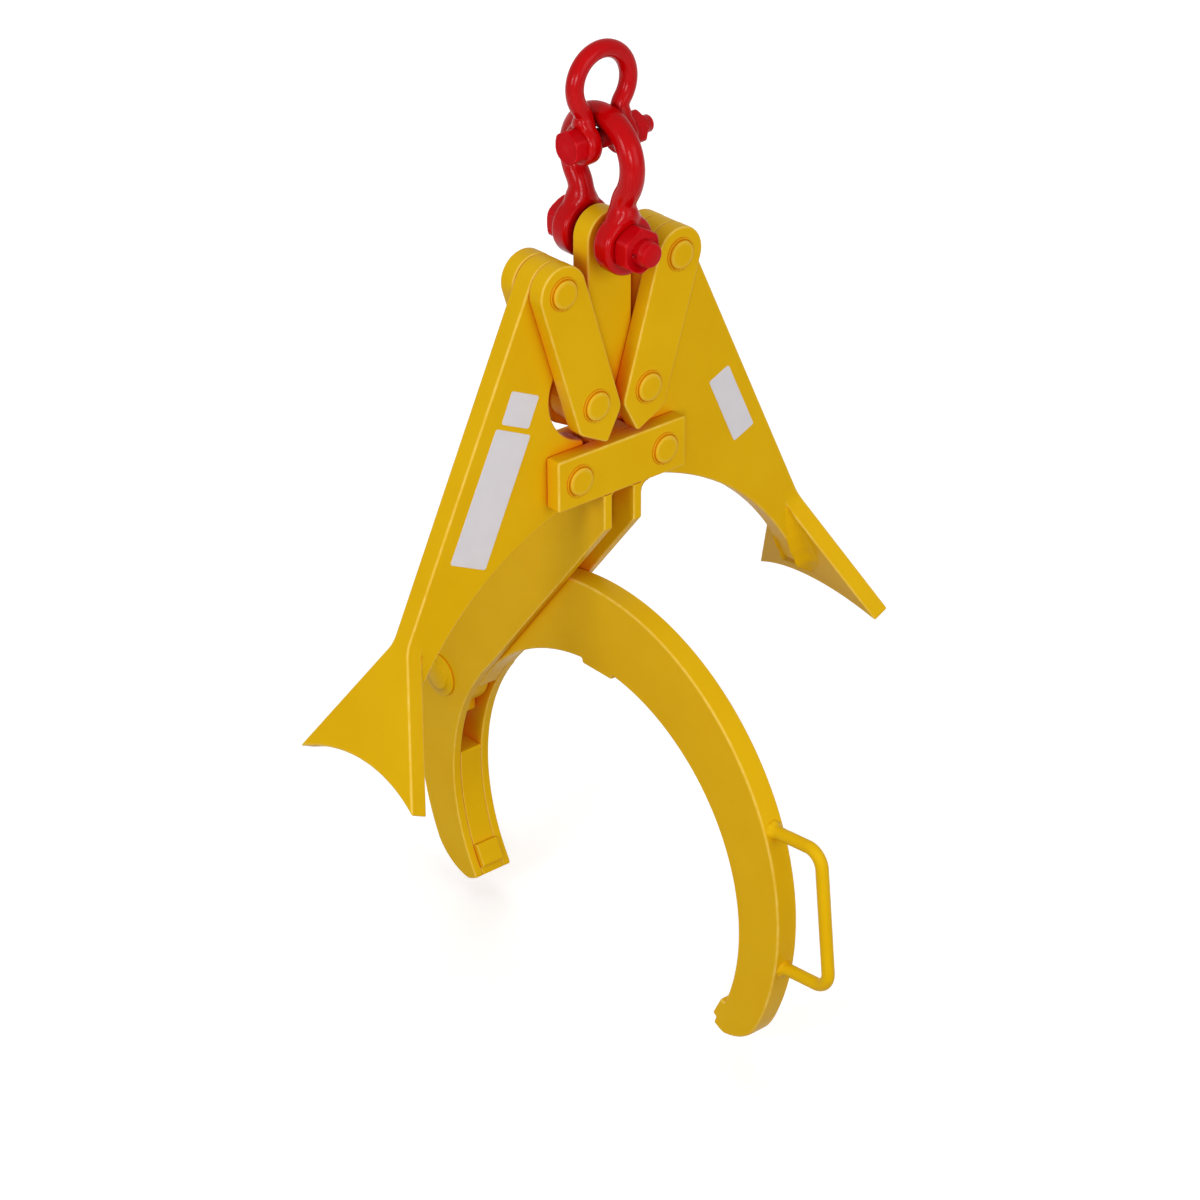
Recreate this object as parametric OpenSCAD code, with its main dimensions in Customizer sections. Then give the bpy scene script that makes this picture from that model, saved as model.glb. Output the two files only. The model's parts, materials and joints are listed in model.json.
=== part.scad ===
// Self-closing grab for lifting one horizontal pipe, with its two bow shackles.
// X runs along the pipe, the hook opens towards -Y, Z is up.
// Z is counted from the pipe's axis, and place() puts the hang point at the origin.

/* [Pipe] */
// Outside diameter of the pipe that the grab is made for
pipe_d = 406.4; // [404:0.1:408]
// Gap between a hook pad and the pipe
pad_gap = 1; // [0.5:0.1:2]
// Gap between a saddle and the pipe
saddle_gap = 1.5; // [0.8:0.1:4]

/* [Plates] */
// Thickness of the leg plates and of the lifting plate
leg_t = 22; // [20:0.5:24]
// Thickness of the links and of the crossbars
bar_t = 18; // [16:0.5:20]
// Thickness of the two cheeks
cheek_t = 10; // [8:0.5:12]
// Thickness of the hook
hook_t = 25; // [22:0.5:26]
// Thickness of the saddles
saddle_t = 19; // [17:0.5:20]
// Gap between plates that slide past each other
slip = 0.3; // [0.3:0.05:0.5]

/* [Pins] */
// Diameter of the leg, link and crossbar pins
pin_d = 28; // [24:0.5:30]
// Diameter of the hook's pivot pin
hook_pin_d = 30; // [26:0.5:32]
// Radial play of a pivot
play = 0.08; // [0.02:0.01:0.1]
// Radial play of the left link's bottom pin, which lets the linkage close evenly
loose = 1.3; // [1.2:0.1:2]
// How far a pin's end stands out of its plate
pin_proud = 1.8; // [1:0.1:3]
// Outside diameter of the weld bead round a pin's end
bead_d = 35.5; // [34:0.5:38]
// Height of that weld bead
bead_h = 1; // [0.5:0.1:1.5]

/* [Legs and links] */
// Distance of a leg's pivot from the middle
pivot_x = 52.7; // [50:0.1:56]
// Height of the leg pivots above the pipe's top
pivot_rise = 229.8; // [227:0.1:233]
// Distance of a link's top pin from the middle
top_pin_x = 70.6; // [68:0.1:72]
// Height of the top pins above the pipe's top
top_pin_rise = 423.4; // [417:0.1:427]
// Distance of a link's bottom pin from the middle
bottom_pin_x = 31.9; // [31:0.1:34]
// Height of the bottom pins above the pipe's top
bottom_pin_rise = 300.5; // [297:0.1:303]
// Radius of a leg's top eye
leg_eye_r = 26.5; // [25:0.5:28]
// Lean of a leg's outer edge and of its saddle, in degrees
leg_lean = 25.3; // [24:0.1:27]
// Distance of the top of a leg's arch below the leg pivots
arch_drop = 24; // [20:0.5:27]
// Radius of the notch that clears the lifting plate
notch_r = 48.8; // [46:0.1:50]
// Radius of a link's top eye
link_eye_r = 28; // [27:0.5:29]
// Width of a link at its bottom pin
link_w = 53; // [50:0.5:54]
// Length of a link's square part below its bottom pin
link_heel = 14; // [12:0.5:16]
// Length of a link's point below its bottom pin
link_point = 40; // [36:0.5:41]

/* [Lifting plate] */
// Width of the lifting plate at the top
lift_w = 53; // [50:0.5:56]
// Radius of the two lower lobes
lobe_r = 24; // [22:0.5:26]

/* [Saddles] */
// Height of the seam between a leg's edge and its saddle above the pipe's top
seam_rise = 126.8; // [122:0.1:132]
// Distance from the middle to a saddle's tips
saddle_half = 86.5; // [84:0.5:90]
// Angle of a saddle's flare, in degrees
flare = 29.1; // [28:0.1:30]

/* [Frame] */
// Length of a crossbar
crossbar_l = 158; // [150:1:166]
// Height of a crossbar
crossbar_h = 52; // [48:1:54]
// Length of the block between the crossbars
block_l = 50; // [48:0.5:52]
// Gap between the two cheeks
cheek_gap = 26.8; // [26.2:0.1:28]
// How far the pads stand in from the relieved inner edges round the pipe
pad_proud = 6.3; // [4:0.1:8]
// Radius of the weld between the right cheek and the crossbars
weld_r = 9; // [7:0.5:10]
// Radius of the boss round the hook's pin
boss_r = 40; // [38:0.5:42]

/* [Hook] */
// Width of the hook's band, from its relieved inner edge to its outer edge
band_w = 55.3; // [54:0.1:57]
// Distance of the hook's pin inside the outer edge
hinge_in = 23.8; // [23:0.1:25]
// Height of that outer edge's centre
hook_centre_z = 27.5; // [26:0.5:29]
// Width of the flat pad at the top of the hook
top_pad_w = 44; // [40:1:46]
// Width of the flat pad at the hook's tip
tip_pad_w = 25; // [22:0.5:26]
// Diameter of the handle's rod
handle_d = 12.7; // [12:0.1:14]
// Radius of the handle's bends, to the rod's middle
handle_bend = 18; // [16:1:20]
// Distance of the handle's corners outside the hook's outer edge
handle_out = 60.5; // [58:0.5:64]

/* [Lower shackle] */
// Diameter of the lower bow's rod
lower_rod = 21.4; // [20.4:0.2:22.4]
// Diameter of the lower bolt
lower_bolt_d = 25.4; // [24:0.1:26]
// Inside width of the lower bow
lower_inside = 60; // [58:0.5:62]
// Gap between the lower bow's ears
lower_jaw = 36.6; // [34:0.2:38]
// Height of the lower crown's middle above the bolt
lower_crown = 114.3; // [112:0.1:118]
// Diameter of the lower bow's ears
lower_ear_d = 58; // [56:1:60]
// Width of the lower head and nut over the flats
lower_flats = 40; // [38:1:42]
// Height of the lower bolt's head
lower_head_h = 15; // [13:0.5:17]
// Height of the lower nut
lower_nut_h = 16; // [14:0.5:18]
// Length of the lower bolt's end beyond its nut
lower_end = 14; // [12:0.5:16]
// Height of the lower bolt above the pipe's top
lower_bolt_rise = 453.8; // [452:0.1:456]

/* [Upper shackle] */
// Diameter of the upper bow's rod
upper_rod = 15.6; // [15:0.1:17]
// Diameter of the upper bolt
upper_bolt_d = 19; // [18:0.1:20]
// Inside width of the upper bow
upper_inside = 46; // [44:0.5:48]
// Gap between the upper bow's ears
upper_jaw = 26.9; // [25:0.1:28]
// Diameter of the upper bow's ears
upper_ear_d = 40; // [38:1:42]
// Width of the upper head and nut over the flats
upper_flats = 30; // [28:1:32]
// Height of the upper bolt's head
upper_head_h = 13; // [11:0.5:15]
// Height of the upper nut
upper_nut_h = 13; // [11:0.5:15]
// Length of the upper bolt's end beyond its nut
upper_end = 14; // [12:0.5:16]
// Height of the upper crown's middle above the bolt
upper_crown = 85; // [82:0.1:88]

/* [Hidden] */
$fn = 96;
// An ear is a little thicker than its bow's rod
ear_extra = 0.6;
// Slope at an ear's rim, and the play of a bolt in the ears
ear_rim = 4;
ear_play = 0.5;
// Rods of one piece run into each other by this length, one of them this much thinner,
// and a straight edge that runs into an arc ends this much inside it
lap_l = 0.5;
lap_r = 0.05;
pipe_r = pipe_d / 2;
pivot_z = pipe_r + pivot_rise;
top_pin_z = pipe_r + top_pin_rise;
bottom_pin_z = pipe_r + bottom_pin_rise;
seam_z = pipe_r + seam_rise;
lower_bolt_z = pipe_r + lower_bolt_rise;
pad_r = pipe_r + pad_gap;
saddle_r = pipe_r + saddle_gap;
relief_r = pad_r + pad_proud;
// Inner and outer faces of the links and crossbars
bar_in = leg_t / 2 + slip;
bar_out = bar_in + bar_t;
cheek_in = cheek_gap / 2;
// Outer edges of the hook and of the cheeks, and the hook's pin, all about one centre
hook_outer_r = relief_r + band_w;
cheek_outer_r = hook_outer_r + 1.2;
hinge_a = 19.155;
hinge_y = (hook_outer_r - hinge_in) * cos(hinge_a);
hinge_z = hook_centre_z + (hook_outer_r - hinge_in) * sin(hinge_a);
crossbar_low = pivot_z - crossbar_h / 2;
// Unit direction down a leg's outer edge, and the edge's point at the top eye
edge_dir = [sin(leg_lean), -cos(leg_lean)];
edge_out = [cos(leg_lean), sin(leg_lean)];
edge_top = [top_pin_x, top_pin_z] + leg_eye_r * edge_out;
seam = edge_top + edge_dir * (edge_top[1] - seam_z) / cos(leg_lean);
// Foot of a leg, from the arch to the saddle
foot_inner = [251.8, pipe_r + 26.3];
foot_z = foot_inner[1] - 10;
// The arch runs from the foot up to its top, and the notch clears the lifting plate
arch_x = -21.6;
arch_rise = pivot_z - arch_drop - foot_inner[1];
arch_r = (pow(foot_inner[0] - arch_x, 2) + pow(arch_rise, 2)) / (2 * arch_rise);
arch_c = [arch_x, pivot_z - arch_drop - arch_r];
notch_c = [25.2, bottom_pin_z + 7.6];
step = seam - saddle_t * edge_out;
foot_outer = step + edge_dir * (step[1] - foot_z) / cos(leg_lean);
leg_end_x = 33;
// Length of a saddle's straight neck below the seam
neck_end = 16.3;
// The near edge of a cheek drops straight and then runs down tangent to the relief
strip_low = pipe_r + 167.8;
strip_far = sqrt(pow(bar_out, 2) + pow(strip_low, 2));
tangent_a = atan2(strip_low, -bar_out) - acos(relief_r / strip_far);
// Radius of the heel bar and its place under the hook's pin
stop_r = 8;
tail_w = 26;
tail_drop = 48;
stop_y = hinge_y + tail_w / 2 + slip + stop_r;
stop_drop = 44;
stop_z = hinge_z - stop_drop;
// Rounded nose of the hook, which runs out a little past the outer arc
nose_r = 65;
nose_a = 204.57;
nose_c = [0, hook_centre_z] + (hook_outer_r + 2 - nose_r) * [cos(nose_a), sin(nose_a)];
// Height where the outer arc runs into the nose
nose_low = -90;
// Shackle levels, from the crown of the lower bow upwards
upper_bolt_z = lower_bolt_z + lower_crown - lower_rod / 2 - upper_bolt_d / 2 - 0.4;
hang_z = upper_bolt_z + upper_crown - upper_rod / 2;

// Everything below is drawn above the pipe's axis and hung from the origin.
module place() {
    translate([0, 0, -hang_z]) children();
}

// Extrude a shape drawn in X and Z between two Y values.
module xz_plate(low, high) {
    translate([0, high, 0]) rotate([90, 0, 0]) linear_extrude(high - low) children();
}

// Extrude a shape drawn in Y and Z between two X values.
module yz_plate(low, high) {
    translate([low, 0, 0]) rotate([90, 0, 90]) linear_extrude(high - low) children();
}

module mirrored(side) {
    if (side < 0) mirror([1, 0, 0]) children();
    else children();
}

// A welded pin along Y: bevelled ends that stand out, and a bead on each outer face.
module cross_pin(d) {
    r = d / 2;
    reach = bar_out + pin_proud;
    bevel = 1.5;
    rotate([90, 0, 0])
        rotate_extrude()
            polygon([[0, -reach], [r - bevel, -reach], [r, bevel - reach], [r, -bar_out - bead_h],
                [bead_d / 2 - bead_h, -bar_out - bead_h], [bead_d / 2, -bar_out], [r, -bar_out],
                [r, bar_out], [bead_d / 2, bar_out], [bead_d / 2 - bead_h, bar_out + bead_h],
                [r, bar_out + bead_h], [r, reach - bevel], [r - bevel, reach], [0, reach]]);
}

// Hexagon prism along Z with its corners turned off at the far end.
module hex(flats, height, bevel) {
    across = flats / cos(30);
    intersection() {
        cylinder(d = across, h = height, $fn = 6);
        rotate_extrude()
            polygon([[0, 0], [across / 2, 0], [across / 2, height - bevel],
                [across / 2 - 1.7 * bevel, height], [0, height]]);
    }
}

// Bow of a shackle in the XZ plane, its bolt at the origin.
module bow(rod, inside, jaw, crown, ear_d, hole_d) {
    r = rod / 2;
    arc_r = inside / 2 + r;
    arc_z = crown - arc_r;
    ear_t = rod + ear_extra;
    ear_x = jaw / 2 + ear_t / 2;
    rim = ear_d / 2;
    neck_z = ear_d * 0.6;
    rise = arc_z - neck_z;
    // The neck's bend touches the bow's circle and the upright neck
    neck_r = (pow(ear_x, 2) + pow(rise, 2) - pow(arc_r, 2)) / (2 * (arc_r - ear_x));
    turn = atan2(rise, ear_x + neck_r);
    over = lap_l / neck_r * 180 / PI;
    difference() {
        union() {
            translate([0, 0, arc_z]) rotate([90, 0, 0])
                rotate([0, 0, -turn]) rotate_extrude(angle = 180 + 2 * turn)
                    translate([arc_r, 0]) circle(r = r - lap_r, $fn = 48);
            for (side = [-1, 1]) mirrored(side) {
                translate([ear_x + neck_r, 0, neck_z]) rotate([90, 0, 0])
                    rotate([0, 0, 180 - turn - over]) rotate_extrude(angle = turn + 2 * over)
                        translate([neck_r, 0]) circle(r = r, $fn = 48);
                translate([ear_x, 0, 0]) cylinder(r = r - lap_r, h = neck_z, $fn = 48);
                translate([jaw / 2, 0, 0]) rotate([0, 90, 0])
                    rotate_extrude()
                        polygon([[0, 0], [rim - ear_rim, 0], [rim, ear_rim], [rim, ear_t - ear_rim],
                            [rim - ear_rim, ear_t], [0, ear_t]]);
            }
        }
        rotate([0, 90, 0]) cylinder(d = hole_d, h = 2 * inside + 4 * rod, center = true);
    }
}

// Bolt along X with its hexagon head at the low end and a cross hole at the other.
module bolt(d, flats, head_h, grip, nut_h, end) {
    low = -grip / 2 - head_h;
    step = grip / 2 + nut_h + end / 2;
    tip = grip / 2 + nut_h + end;
    difference() {
        union() {
            translate([-grip / 2, 0, 0]) rotate([0, -90, 0]) hex(flats, head_h, 2);
            rotate([0, 90, 0]) rotate_extrude()
                polygon([[0, low + 1], [d / 2, low + 1], [d / 2, step - 1], [d / 2 - 1.2, step],
                    [d / 2 - 1.2, tip - 2], [d / 2 - 3, tip], [0, tip]]);
        }
        translate([step - end / 4 - 1, 0, 0]) cylinder(d = d / 5, h = 2 * d, center = true, $fn = 32);
    }
}

// Hexagon nut along X that starts at a shackle's ear.
module nut(d, flats, grip, nut_h) {
    difference() {
        translate([grip / 2, 0, 0]) rotate([0, 90, 0]) hex(flats, nut_h, 2);
        rotate([0, 90, 0]) cylinder(d = d, h = 2 * grip + 4 * nut_h, center = true);
    }
}

// Turns the lower shackle's parts from X to Y, with the nut on the near side.
module lower_place() {
    translate([0, 0, lower_bolt_z]) rotate([0, 0, -90]) children();
}

lower_grip = lower_jaw + 2 * (lower_rod + ear_extra);
upper_grip = upper_jaw + 2 * (upper_rod + ear_extra);

module upper_bow() {
    place() color("red") translate([0, 0, upper_bolt_z])
        bow(upper_rod, upper_inside, upper_jaw, upper_crown, upper_ear_d, upper_bolt_d + 2 * ear_play);
}

module upper_bolt() {
    place() color("firebrick") translate([0, 0, upper_bolt_z])
        bolt(upper_bolt_d, upper_flats, upper_head_h, upper_grip, upper_nut_h, upper_end);
}

module upper_nut() {
    place() color("firebrick") translate([0, 0, upper_bolt_z])
        nut(upper_bolt_d, upper_flats, upper_grip, upper_nut_h);
}

module lower_bow() {
    place() color("red") lower_place()
        bow(lower_rod, lower_inside, lower_jaw, lower_crown, lower_ear_d, lower_bolt_d + 2 * ear_play);
}

module lower_bolt() {
    place() color("firebrick") lower_place()
        bolt(lower_bolt_d, lower_flats, lower_head_h, lower_grip, lower_nut_h, lower_end);
}

module lower_nut() {
    place() color("firebrick") lower_place()
        nut(lower_bolt_d, lower_flats, lower_grip, lower_nut_h);
}

// Upright plate with one eye for the shackle and two lobes for the links.
module lifting_plate() {
    flare_z = bottom_pin_z + 41.3;
    place() color("gold") xz_plate(-leg_t / 2, leg_t / 2)
        difference() {
            union() {
                translate([0, lower_bolt_z]) circle(d = lift_w);
                polygon([[lift_w / 2, lower_bolt_z], [-lift_w / 2, lower_bolt_z], [-lift_w / 2, flare_z],
                    [-bottom_pin_x - lobe_r, bottom_pin_z + 6], [-bottom_pin_x, bottom_pin_z - lobe_r],
                    [bottom_pin_x, bottom_pin_z - lobe_r], [bottom_pin_x + lobe_r, bottom_pin_z + 6],
                    [lift_w / 2, flare_z]]);
                for (side = [-1, 1]) translate([side * bottom_pin_x, bottom_pin_z]) circle(r = lobe_r);
            }
            translate([0, lower_bolt_z]) circle(r = lower_bolt_d / 2 + play);
            translate([bottom_pin_x, bottom_pin_z]) circle(r = pin_d / 2 + play);
            translate([-bottom_pin_x, bottom_pin_z]) circle(r = pin_d / 2 + loose);
        }
}

// Outline of the right link, from its top eye to the point below the bottom pin.
module link_shape() {
    run = [bottom_pin_x - top_pin_x, bottom_pin_z - top_pin_z];
    span = norm(run);
    translate([top_pin_x, top_pin_z]) rotate(atan2(run[1], run[0]) + 90)
        difference() {
            union() {
                circle(r = link_eye_r);
                polygon([[link_eye_r, 0], [-link_eye_r, 0], [-link_w / 2, -span - link_heel],
                    [0, -span - link_point], [link_w / 2, -span - link_heel]]);
            }
            circle(d = pin_d);
            translate([0, -span]) circle(d = pin_d);
        }
}

module link(side, low, high) {
    place() color("gold") mirrored(side) xz_plate(low, high) link_shape();
}

module link_left_near() {
    link(-1, -bar_out, -bar_in);
}

module link_left_far() {
    link(-1, bar_in, bar_out);
}

module link_right_near() {
    link(1, -bar_out, -bar_in);
}

module link_right_far() {
    link(1, bar_in, bar_out);
}

module pin_at(x, z) {
    place() color("goldenrod") translate([x, 0, z]) cross_pin(pin_d);
}

module top_pin_left() {
    pin_at(-top_pin_x, top_pin_z);
}

module top_pin_right() {
    pin_at(top_pin_x, top_pin_z);
}

module bottom_pin_left() {
    pin_at(-bottom_pin_x, bottom_pin_z);
}

module bottom_pin_right() {
    pin_at(bottom_pin_x, bottom_pin_z);
}

module leg_pin_left() {
    pin_at(-pivot_x, pivot_z);
}

module leg_pin_right() {
    pin_at(pivot_x, pivot_z);
}

// Outline of the right leg: eye, straight outer edge, foot on the saddle, arch and notch.
module leg_shape() {
    difference() {
        union() {
            translate([top_pin_x, top_pin_z]) circle(r = leg_eye_r);
            polygon([edge_top - lap_r * edge_out, [top_pin_x - 0.9 * leg_eye_r, top_pin_z],
                [leg_end_x, notch_c[1]], [leg_end_x, arch_c[1]],
                [foot_inner[0] - 1, foot_inner[1]], foot_outer, step, seam]);
        }
        translate(arch_c) circle(r = arch_r, $fn = 192);
        translate(notch_c) circle(r = notch_r);
        translate([top_pin_x, top_pin_z]) circle(r = pin_d / 2 + play);
        translate([pivot_x, pivot_z]) circle(r = pin_d / 2 + play);
    }
}

module leg(side) {
    place() color("gold") mirrored(side) xz_plate(-leg_t / 2, leg_t / 2) leg_shape();
}

module leg_left() {
    leg(-1);
}

module leg_right() {
    leg(1);
}

// Radius of the soft shoulder from a saddle's neck into its flare
shoulder_r = 25;

// Fan-shaped cross plate at a leg's foot, its lower edge an arc cut square to the plate.
module saddle(side) {
    neck = leg_t / 2;
    fan_end = neck_end + (saddle_half - neck) / tan(flare);
    crown = (step[1] - saddle_r) / cos(leg_lean);
    arc_r = saddle_r * cos(leg_lean);
    // The shoulder's arc touches the neck's side above the flare, and the flare's edge below
    shoulder = [neck + shoulder_r, shoulder_r * tan(flare / 2) - neck_end];
    reach = shoulder_r * tan(flare / 2);
    place() color("gold") mirrored(side)
        translate([seam[0], 0, seam[1]]) rotate([0, -leg_lean, 0])
            translate([-saddle_t, 0, 0]) rotate([90, 0, 90]) linear_extrude(saddle_t)
                difference() {
                    union() {
                        polygon([[-neck, 0], [neck, 0], [neck, -neck_end], [saddle_half, -fan_end],
                            [-saddle_half, -fan_end], [-neck, -neck_end]]);
                        for (way = [-1, 1]) mirrored(way) shoulder_corner(shoulder, neck, reach);
                    }
                    translate([0, -crown - arc_r]) circle(r = arc_r, $fn = 192);
                }
}

// What fills the corner between a saddle's neck and its flare.
module shoulder_corner(centre, neck, reach) {
    difference() {
        polygon([[neck - 1, -neck_end + reach], [neck, -neck_end + reach],
            [neck + reach * sin(flare) + lap_r, -neck_end - reach * cos(flare)],
            [neck - 1, -neck_end - reach * cos(flare)]]);
        translate(centre) circle(r = shoulder_r + lap_r);
    }
}

module saddle_left() {
    saddle(-1);
}

module saddle_right() {
    saddle(1);
}

module crossbar(low, high) {
    place() color("gold") xz_plate(low, high)
        difference() {
            translate([-crossbar_l / 2, crossbar_low]) square([crossbar_l, crossbar_h]);
            for (side = [-1, 1]) translate([side * pivot_x, pivot_z]) circle(d = pin_d);
        }
}

module crossbar_near() {
    crossbar(-bar_out, -bar_in);
}

module crossbar_far() {
    crossbar(bar_in, bar_out);
}

module crossbar_block() {
    place() color("gold") translate([-block_l / 2, -bar_in, crossbar_low])
        cube([block_l, 2 * bar_in, crossbar_h]);
}

// The toe starts at this angle, this far outside the pads
toe_a = 210.93;
toe_lip = 1.2;

// Toe of the hook and, mirrored, of the far jaw: what is cut away inside the nose.
module toe_cut() {
    lip = (pad_r + toe_lip) * [cos(toe_a), sin(toe_a)];
    low = lip + [-1.5, -9.8];
    end = low + [-12, -6.3];
    bottom = lip[1] - 2 * nose_r;
    polygon([lip, low, end, [end[0], bottom], [0, bottom], [0, lip[1]]]);
}

// Everything between the far jaw's nose and the cheeks' outer arc.
module jaw_end() {
    difference() {
        intersection() {
            translate([0, hook_centre_z]) circle(r = cheek_outer_r, $fn = 192);
            union() {
                translate([-nose_c[0], nose_c[1]]) circle(r = nose_r);
                translate([0, nose_low]) square([2 * pipe_r, 2 * pipe_r]);
            }
        }
        mirror([1, 0]) toe_cut();
    }
}

// Outline of a cheek in Y and Z: strip under the near crossbar, slope, boss and far jaw.
module cheek_shape() {
    tangent_p = (relief_r - lap_r) * [cos(tangent_a), sin(tangent_a)];
    reach = norm([bar_out, crossbar_low - hook_centre_z]);
    slope_a = atan2(crossbar_low - hook_centre_z, bar_out) - acos(cheek_outer_r / reach);
    slope_p = [0, hook_centre_z] + (cheek_outer_r - lap_r) * [cos(slope_a), sin(slope_a)];
    difference() {
        union() {
            polygon([[-bar_out, crossbar_low], [-bar_out, strip_low], tangent_p, [0, 0],
                [slope_p[0], 0], slope_p, [bar_out, crossbar_low]]);
            intersection() {
                jaw_end();
                translate([0, -pipe_r]) square([2 * pipe_r, pipe_r + slope_p[1]]);
            }
            translate([hinge_y, hinge_z]) circle(r = boss_r);
        }
        circle(r = relief_r, $fn = 192);
        translate([hinge_y, hinge_z]) circle(d = hook_pin_d);
    }
}

module cheek_left() {
    place() color("goldenrod") yz_plate(-cheek_in - cheek_t, -cheek_in) cheek_shape();
}

// The right cheek has a concave weld under each crossbar, a little thick at its edges.
module cheek_right() {
    face = cheek_in + cheek_t;
    weld_edge = 0.3;
    weld_c = [face + weld_r + weld_edge, crossbar_low - weld_r - weld_edge];
    place() color("goldenrod") {
        yz_plate(cheek_in, face) cheek_shape();
        for (low = [-bar_out, bar_in])
            xz_plate(low, low + bar_t)
                difference() {
                    translate([face - 1, crossbar_low - weld_r]) square([weld_r + 1, weld_r]);
                    translate(weld_c) circle(r = weld_r);
                }
    }
}

// A flat pad, seen along X, at an angle above the near or far horizontal.
module pad(angle, width, depth) {
    rotate(angle) translate([pad_r, -width / 2]) square([depth, width]);
}

pad_angle = 27.35;
// A pad runs this far into the band behind it
pad_sink = 7.7;
pad_depth = pad_proud + pad_sink;

// Height of the top of the filler between the cheeks
jaw_top = 18;

// Filler between the cheeks that carries the far jaw's pad.
module jaw_insert() {
    place() color("goldenrod") yz_plate(-cheek_in, cheek_in)
        union() {
            difference() {
                intersection() {
                    jaw_end();
                    translate([0.73 * pad_r, -pipe_r]) square([pipe_r, pipe_r + jaw_top]);
                }
                circle(r = relief_r, $fn = 192);
            }
            pad(-pad_angle, tip_pad_w, pad_depth);
        }
}

// Pivot pin of the hook, with a collar on each cheek.
module hook_pin() {
    face = cheek_in + cheek_t;
    r = hook_pin_d / 2;
    collar_r = 23;
    collar_h = 3;
    reach = face + 5;
    place() color("goldenrod") translate([0, hinge_y, hinge_z]) rotate([0, 90, 0])
        rotate_extrude()
            polygon([[0, -reach], [r - 1.5, -reach], [r, 1.5 - reach], [r, -face - collar_h],
                [collar_r - 1.5, -face - collar_h], [collar_r, 1.5 - face - collar_h],
                [collar_r, -face], [r, -face], [r, face], [collar_r, face],
                [collar_r, face + collar_h - 1.5], [collar_r - 1.5, face + collar_h],
                [r, face + collar_h], [r, reach - 1.5], [r - 1.5, reach], [0, reach]]);
}

// Round bar between the cheeks that the hook's tail rests on when shut.
module hook_stop() {
    place() color("goldenrod") translate([-cheek_in, stop_y, stop_z]) rotate([0, 90, 0])
        cylinder(r = stop_r, h = cheek_gap);
}

// Outline of the hook in Y and Z, from the tip round to the hub and its tail.
module hook_shape() {
    hub_r = 36;
    difference() {
        union() {
            difference() {
                intersection() {
                    translate([0, hook_centre_z]) circle(r = hook_outer_r, $fn = 192);
                    union() {
                        translate(nose_c) circle(r = nose_r);
                        translate([-2 * pipe_r, nose_low]) square([2 * pipe_r, 4 * pipe_r]);
                        translate([-hub_r, hinge_z]) square([hinge_y + 2 * hub_r, 2 * pipe_r]);
                    }
                }
                circle(r = relief_r, $fn = 192);
                toe_cut();
            }
            translate([hinge_y, hinge_z]) circle(r = hub_r);
            translate([hinge_y - tail_w / 2, hinge_z - tail_drop]) square([tail_w, tail_drop]);
            pad(180 - 89, top_pad_w, pad_depth);
            pad(180 + pad_angle, tip_pad_w, pad_depth);
        }
        translate([hinge_y, hinge_z]) circle(r = hook_pin_d / 2 + play);
    }
}

module hook() {
    place() color("gold") yz_plate(-hook_t / 2, hook_t / 2) hook_shape();
}

// Depth of the handle's lower and upper end inside the hook
handle_foot = 6.3;
handle_top = 16.3;

// Corners of the handle's rod in Y and Z, both ends inside the hook's outer edge:
// how far outside that edge each lies, and at what angle about its centre
handle_at = [[-handle_foot, 189.4], [handle_out, 186.35], [handle_out, 160.6], [-handle_top, 156]];
handle_path = [for (p = handle_at)
    [0, hook_centre_z] + (hook_outer_r + p[0]) * [cos(p[1]), sin(p[1])]];

function run(i) = handle_path[i + 1] - handle_path[i];
function heading(i) = atan2(run(i)[1], run(i)[0]);
function unit(i) = run(i) / norm(run(i));
// Turn at a corner, clockwise, in degrees
function turn_at(i) = heading(i - 1) - heading(i);
// Length that a bend takes off each side of its corner
function setback(i) = i % 3 == 0 ? 0 : handle_bend * tan(turn_at(i) / 2);

// Rod bent to a U, its ends cut to sit on the hook's outer edge.
module hook_handle() {
    place() color("gold") difference() {
        handle_rod();
        translate([0, 0, hook_centre_z]) rotate([0, 90, 0])
            cylinder(r = hook_outer_r, h = 2 * handle_d, center = true, $fn = 192);
    }
}

module handle_rod() {
    union() {
        for (i = [0:2]) {
            from = handle_path[i] + unit(i) * (setback(i) - lap_l);
            length = norm(run(i)) - setback(i) - setback(i + 1) + 2 * lap_l;
            translate([0, from[0], from[1]]) rotate([heading(i) - 90, 0, 0])
                cylinder(d = handle_d, h = length, $fn = 48);
        }
        for (i = [1:2]) {
            start = handle_path[i] - unit(i - 1) * setback(i);
            centre = start + handle_bend * [unit(i - 1)[1], -unit(i - 1)[0]];
            translate([0, centre[0], centre[1]]) rotate([90, 0, 90]) rotate(heading(i) + 90)
                rotate_extrude(angle = turn_at(i)) translate([handle_bend, 0])
                    circle(d = handle_d - 2 * lap_r, $fn = 48);
        }
    }
}

upper_bow();
upper_bolt();
upper_nut();
lower_bow();
lower_bolt();
lower_nut();
lifting_plate();
link_left_near();
link_left_far();
link_right_near();
link_right_far();
top_pin_left();
top_pin_right();
bottom_pin_left();
bottom_pin_right();
leg_left();
leg_right();
saddle_left();
saddle_right();
crossbar_near();
crossbar_far();
crossbar_block();
leg_pin_left();
leg_pin_right();
cheek_left();
cheek_right();
jaw_insert();
hook_pin();
hook_stop();
hook();
hook_handle();
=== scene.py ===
"""Studio scene of a yellow pipe grab that hangs on two red bow shackles.

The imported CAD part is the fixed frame. Rounded plates, forged bows, welded pins and weld fillets are
built round it as parametric surfaces, in millimetres above the axis of the pipe that the grab holds.
"""

import json
import logging
from dataclasses import dataclass
from enum import Enum
from typing import Callable, Iterable, Sequence

import bpy
import numpy as np
from mathutils import Matrix

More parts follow.
